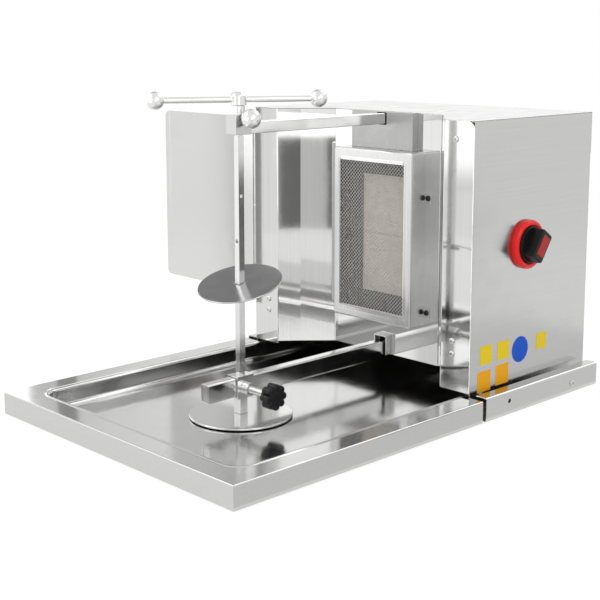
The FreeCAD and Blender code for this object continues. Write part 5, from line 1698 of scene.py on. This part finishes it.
@dataclass
class Fasteners:
    """Domed screws with cross recesses, wherever the grill has screws."""

    radius: float = 3.2 * MM
    height: float = 1.8 * MM
    rim: float = 0.35
    dome: tuple[Pair, ...] = (
        (0.97, 0.52), (0.88, 0.72), (0.72, 0.87), (0.5, 0.96), (0.25, 0.995), (0.0, 1.0),
    )
    blade: tuple[float, float, float] = (1.7 * MM, 0.45 * MM, 0.99 * MM)
    blade_taper: float = 0.55
    turn_shares: Pair = (97, 41)
    smooth_angle: float = 40

    def build(self) -> None:
        """Puts the screws at the CAD screws' places."""
        screw = self.screw()
        for node, facing in (("reflector_screws", FORWARD), ("burner_screws", FORWARD),
                             ("rear_screws", -FORWARD), ("rail_screws", Vector((1, 0, 0)))):
            mesh = bmesh.new()
            for centre, size in self.spots(node):
                copy = screw.copy()
                copy.transform(self.placement(centre, size, facing))
                mesh.from_mesh(copy)
                bpy.data.meshes.remove(copy)
            heads = piece_from(node.replace("screws", "domed_screws"), mesh, closed=False)
            # Painted shade: the burner screws are near-black to stand in for the dark shade of the lug holes.
            finish = Metal((0.05, 0.05, 0.05), 0.4) if node == "burner_screws" else None
            Dresser.fit(shade(heads, self.smooth_angle), "housing", "plated_steel", node, finish=finish)

    def screw(self) -> bpy.types.Mesh:
        """Mesh of one screw head that stands on the origin and faces +Z."""
        section = ((0.0, 0.0), (1.0, 0.0), (1.0, self.rim), *self.dome)
        mesh = bmesh.new()
        add_lathe(mesh, [Vector((self.radius * wide, self.height * high)) for wide, high in section], 32,
                  Matrix.Identity(4))
        head = piece_from("screw_head", mesh)
        for turn in (0, 90):
            mesh = bmesh.new()
            made = bmesh.ops.create_cube(mesh, size=2.0)["verts"]
            for vertex in made:
                taper = 1.0 if vertex.co.z > 0 else self.blade_taper
                scaled = [part * half for part, half in zip(vertex.co, self.blade)]
                vertex.co = Vector((scaled[0] * taper, scaled[1] * taper, scaled[2] + self.height))
            matrix = Matrix.Rotation(math.radians(turn), 3, "Z")
            bmesh.ops.rotate(mesh, verts=made, cent=(0, 0, 0), matrix=matrix)
            carve(head, piece_from("recess_tool", mesh))
        data = head.data
        bpy.data.objects.remove(head)
        return data

    @staticmethod
    def spots(node: str) -> list[tuple[Vector, Vector]]:
        """Finds the separate screws of a node.

        Args:
            node: Name of the CAD node.

        Returns:
            Centre and size of each screw.
        """
        mesh = bmesh.new()
        mesh.from_mesh(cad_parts[node].data)
        bmesh.ops.remove_doubles(mesh, verts=mesh.verts[:], dist=TINY)
        left = set(mesh.verts)
        found = []
        while left:
            reached, island = [left.pop()], []
            while reached:
                vertex = reached.pop()
                island.append(vertex.co.copy())
                near = {edge.other_vert(vertex) for edge in vertex.link_edges} & left
                left -= near
                reached += near
            box = Box.round_spots(island)
            found.append((box.centre, box.size))
        mesh.free()
        return sorted(found, key=lambda spot: tuple(spot[0]))

    def placement(self, centre: Vector, size: Vector, facing: Vector) -> Matrix:
        """Place of a screw that fills a CAD screw's room, turned by an angle of its own.

        Args:
            centre: Middle of the CAD screw.
            size: Its size.
            facing: Direction of its head, to either side where it is along X.

        Returns:
            The placement.
        """
        if facing.x:
            facing = Vector((math.copysign(1, centre.x), 0, 0))
        thick, wide = abs(size.dot(facing)), max(size) / 2
        turn = Matrix.Rotation(centre.z * self.turn_shares[0] + centre.x * self.turn_shares[1], 4, "Z")
        scale = Matrix.Diagonal((wide / self.radius, wide / self.radius, thick / self.height, 1))
        return turned_to(centre - facing * thick / 2, facing) @ turn @ scale


def main() -> None:
    """Builds the grill's sub-assemblies in order."""
    logging.basicConfig(level=logging.INFO, format="%(message)s")
    for part in (Studio(), DripTray(), HousingShell(), Rails(), Reflector(), Burner(), GasSupply(), GasKnob(),
                 Carriage(), Spit(), UpperArm(), WindWing(), Patches(), Fasteners()):
        log.info("building %s", type(part).__name__)
        part.build()


if __name__ == "__main__":
    main()
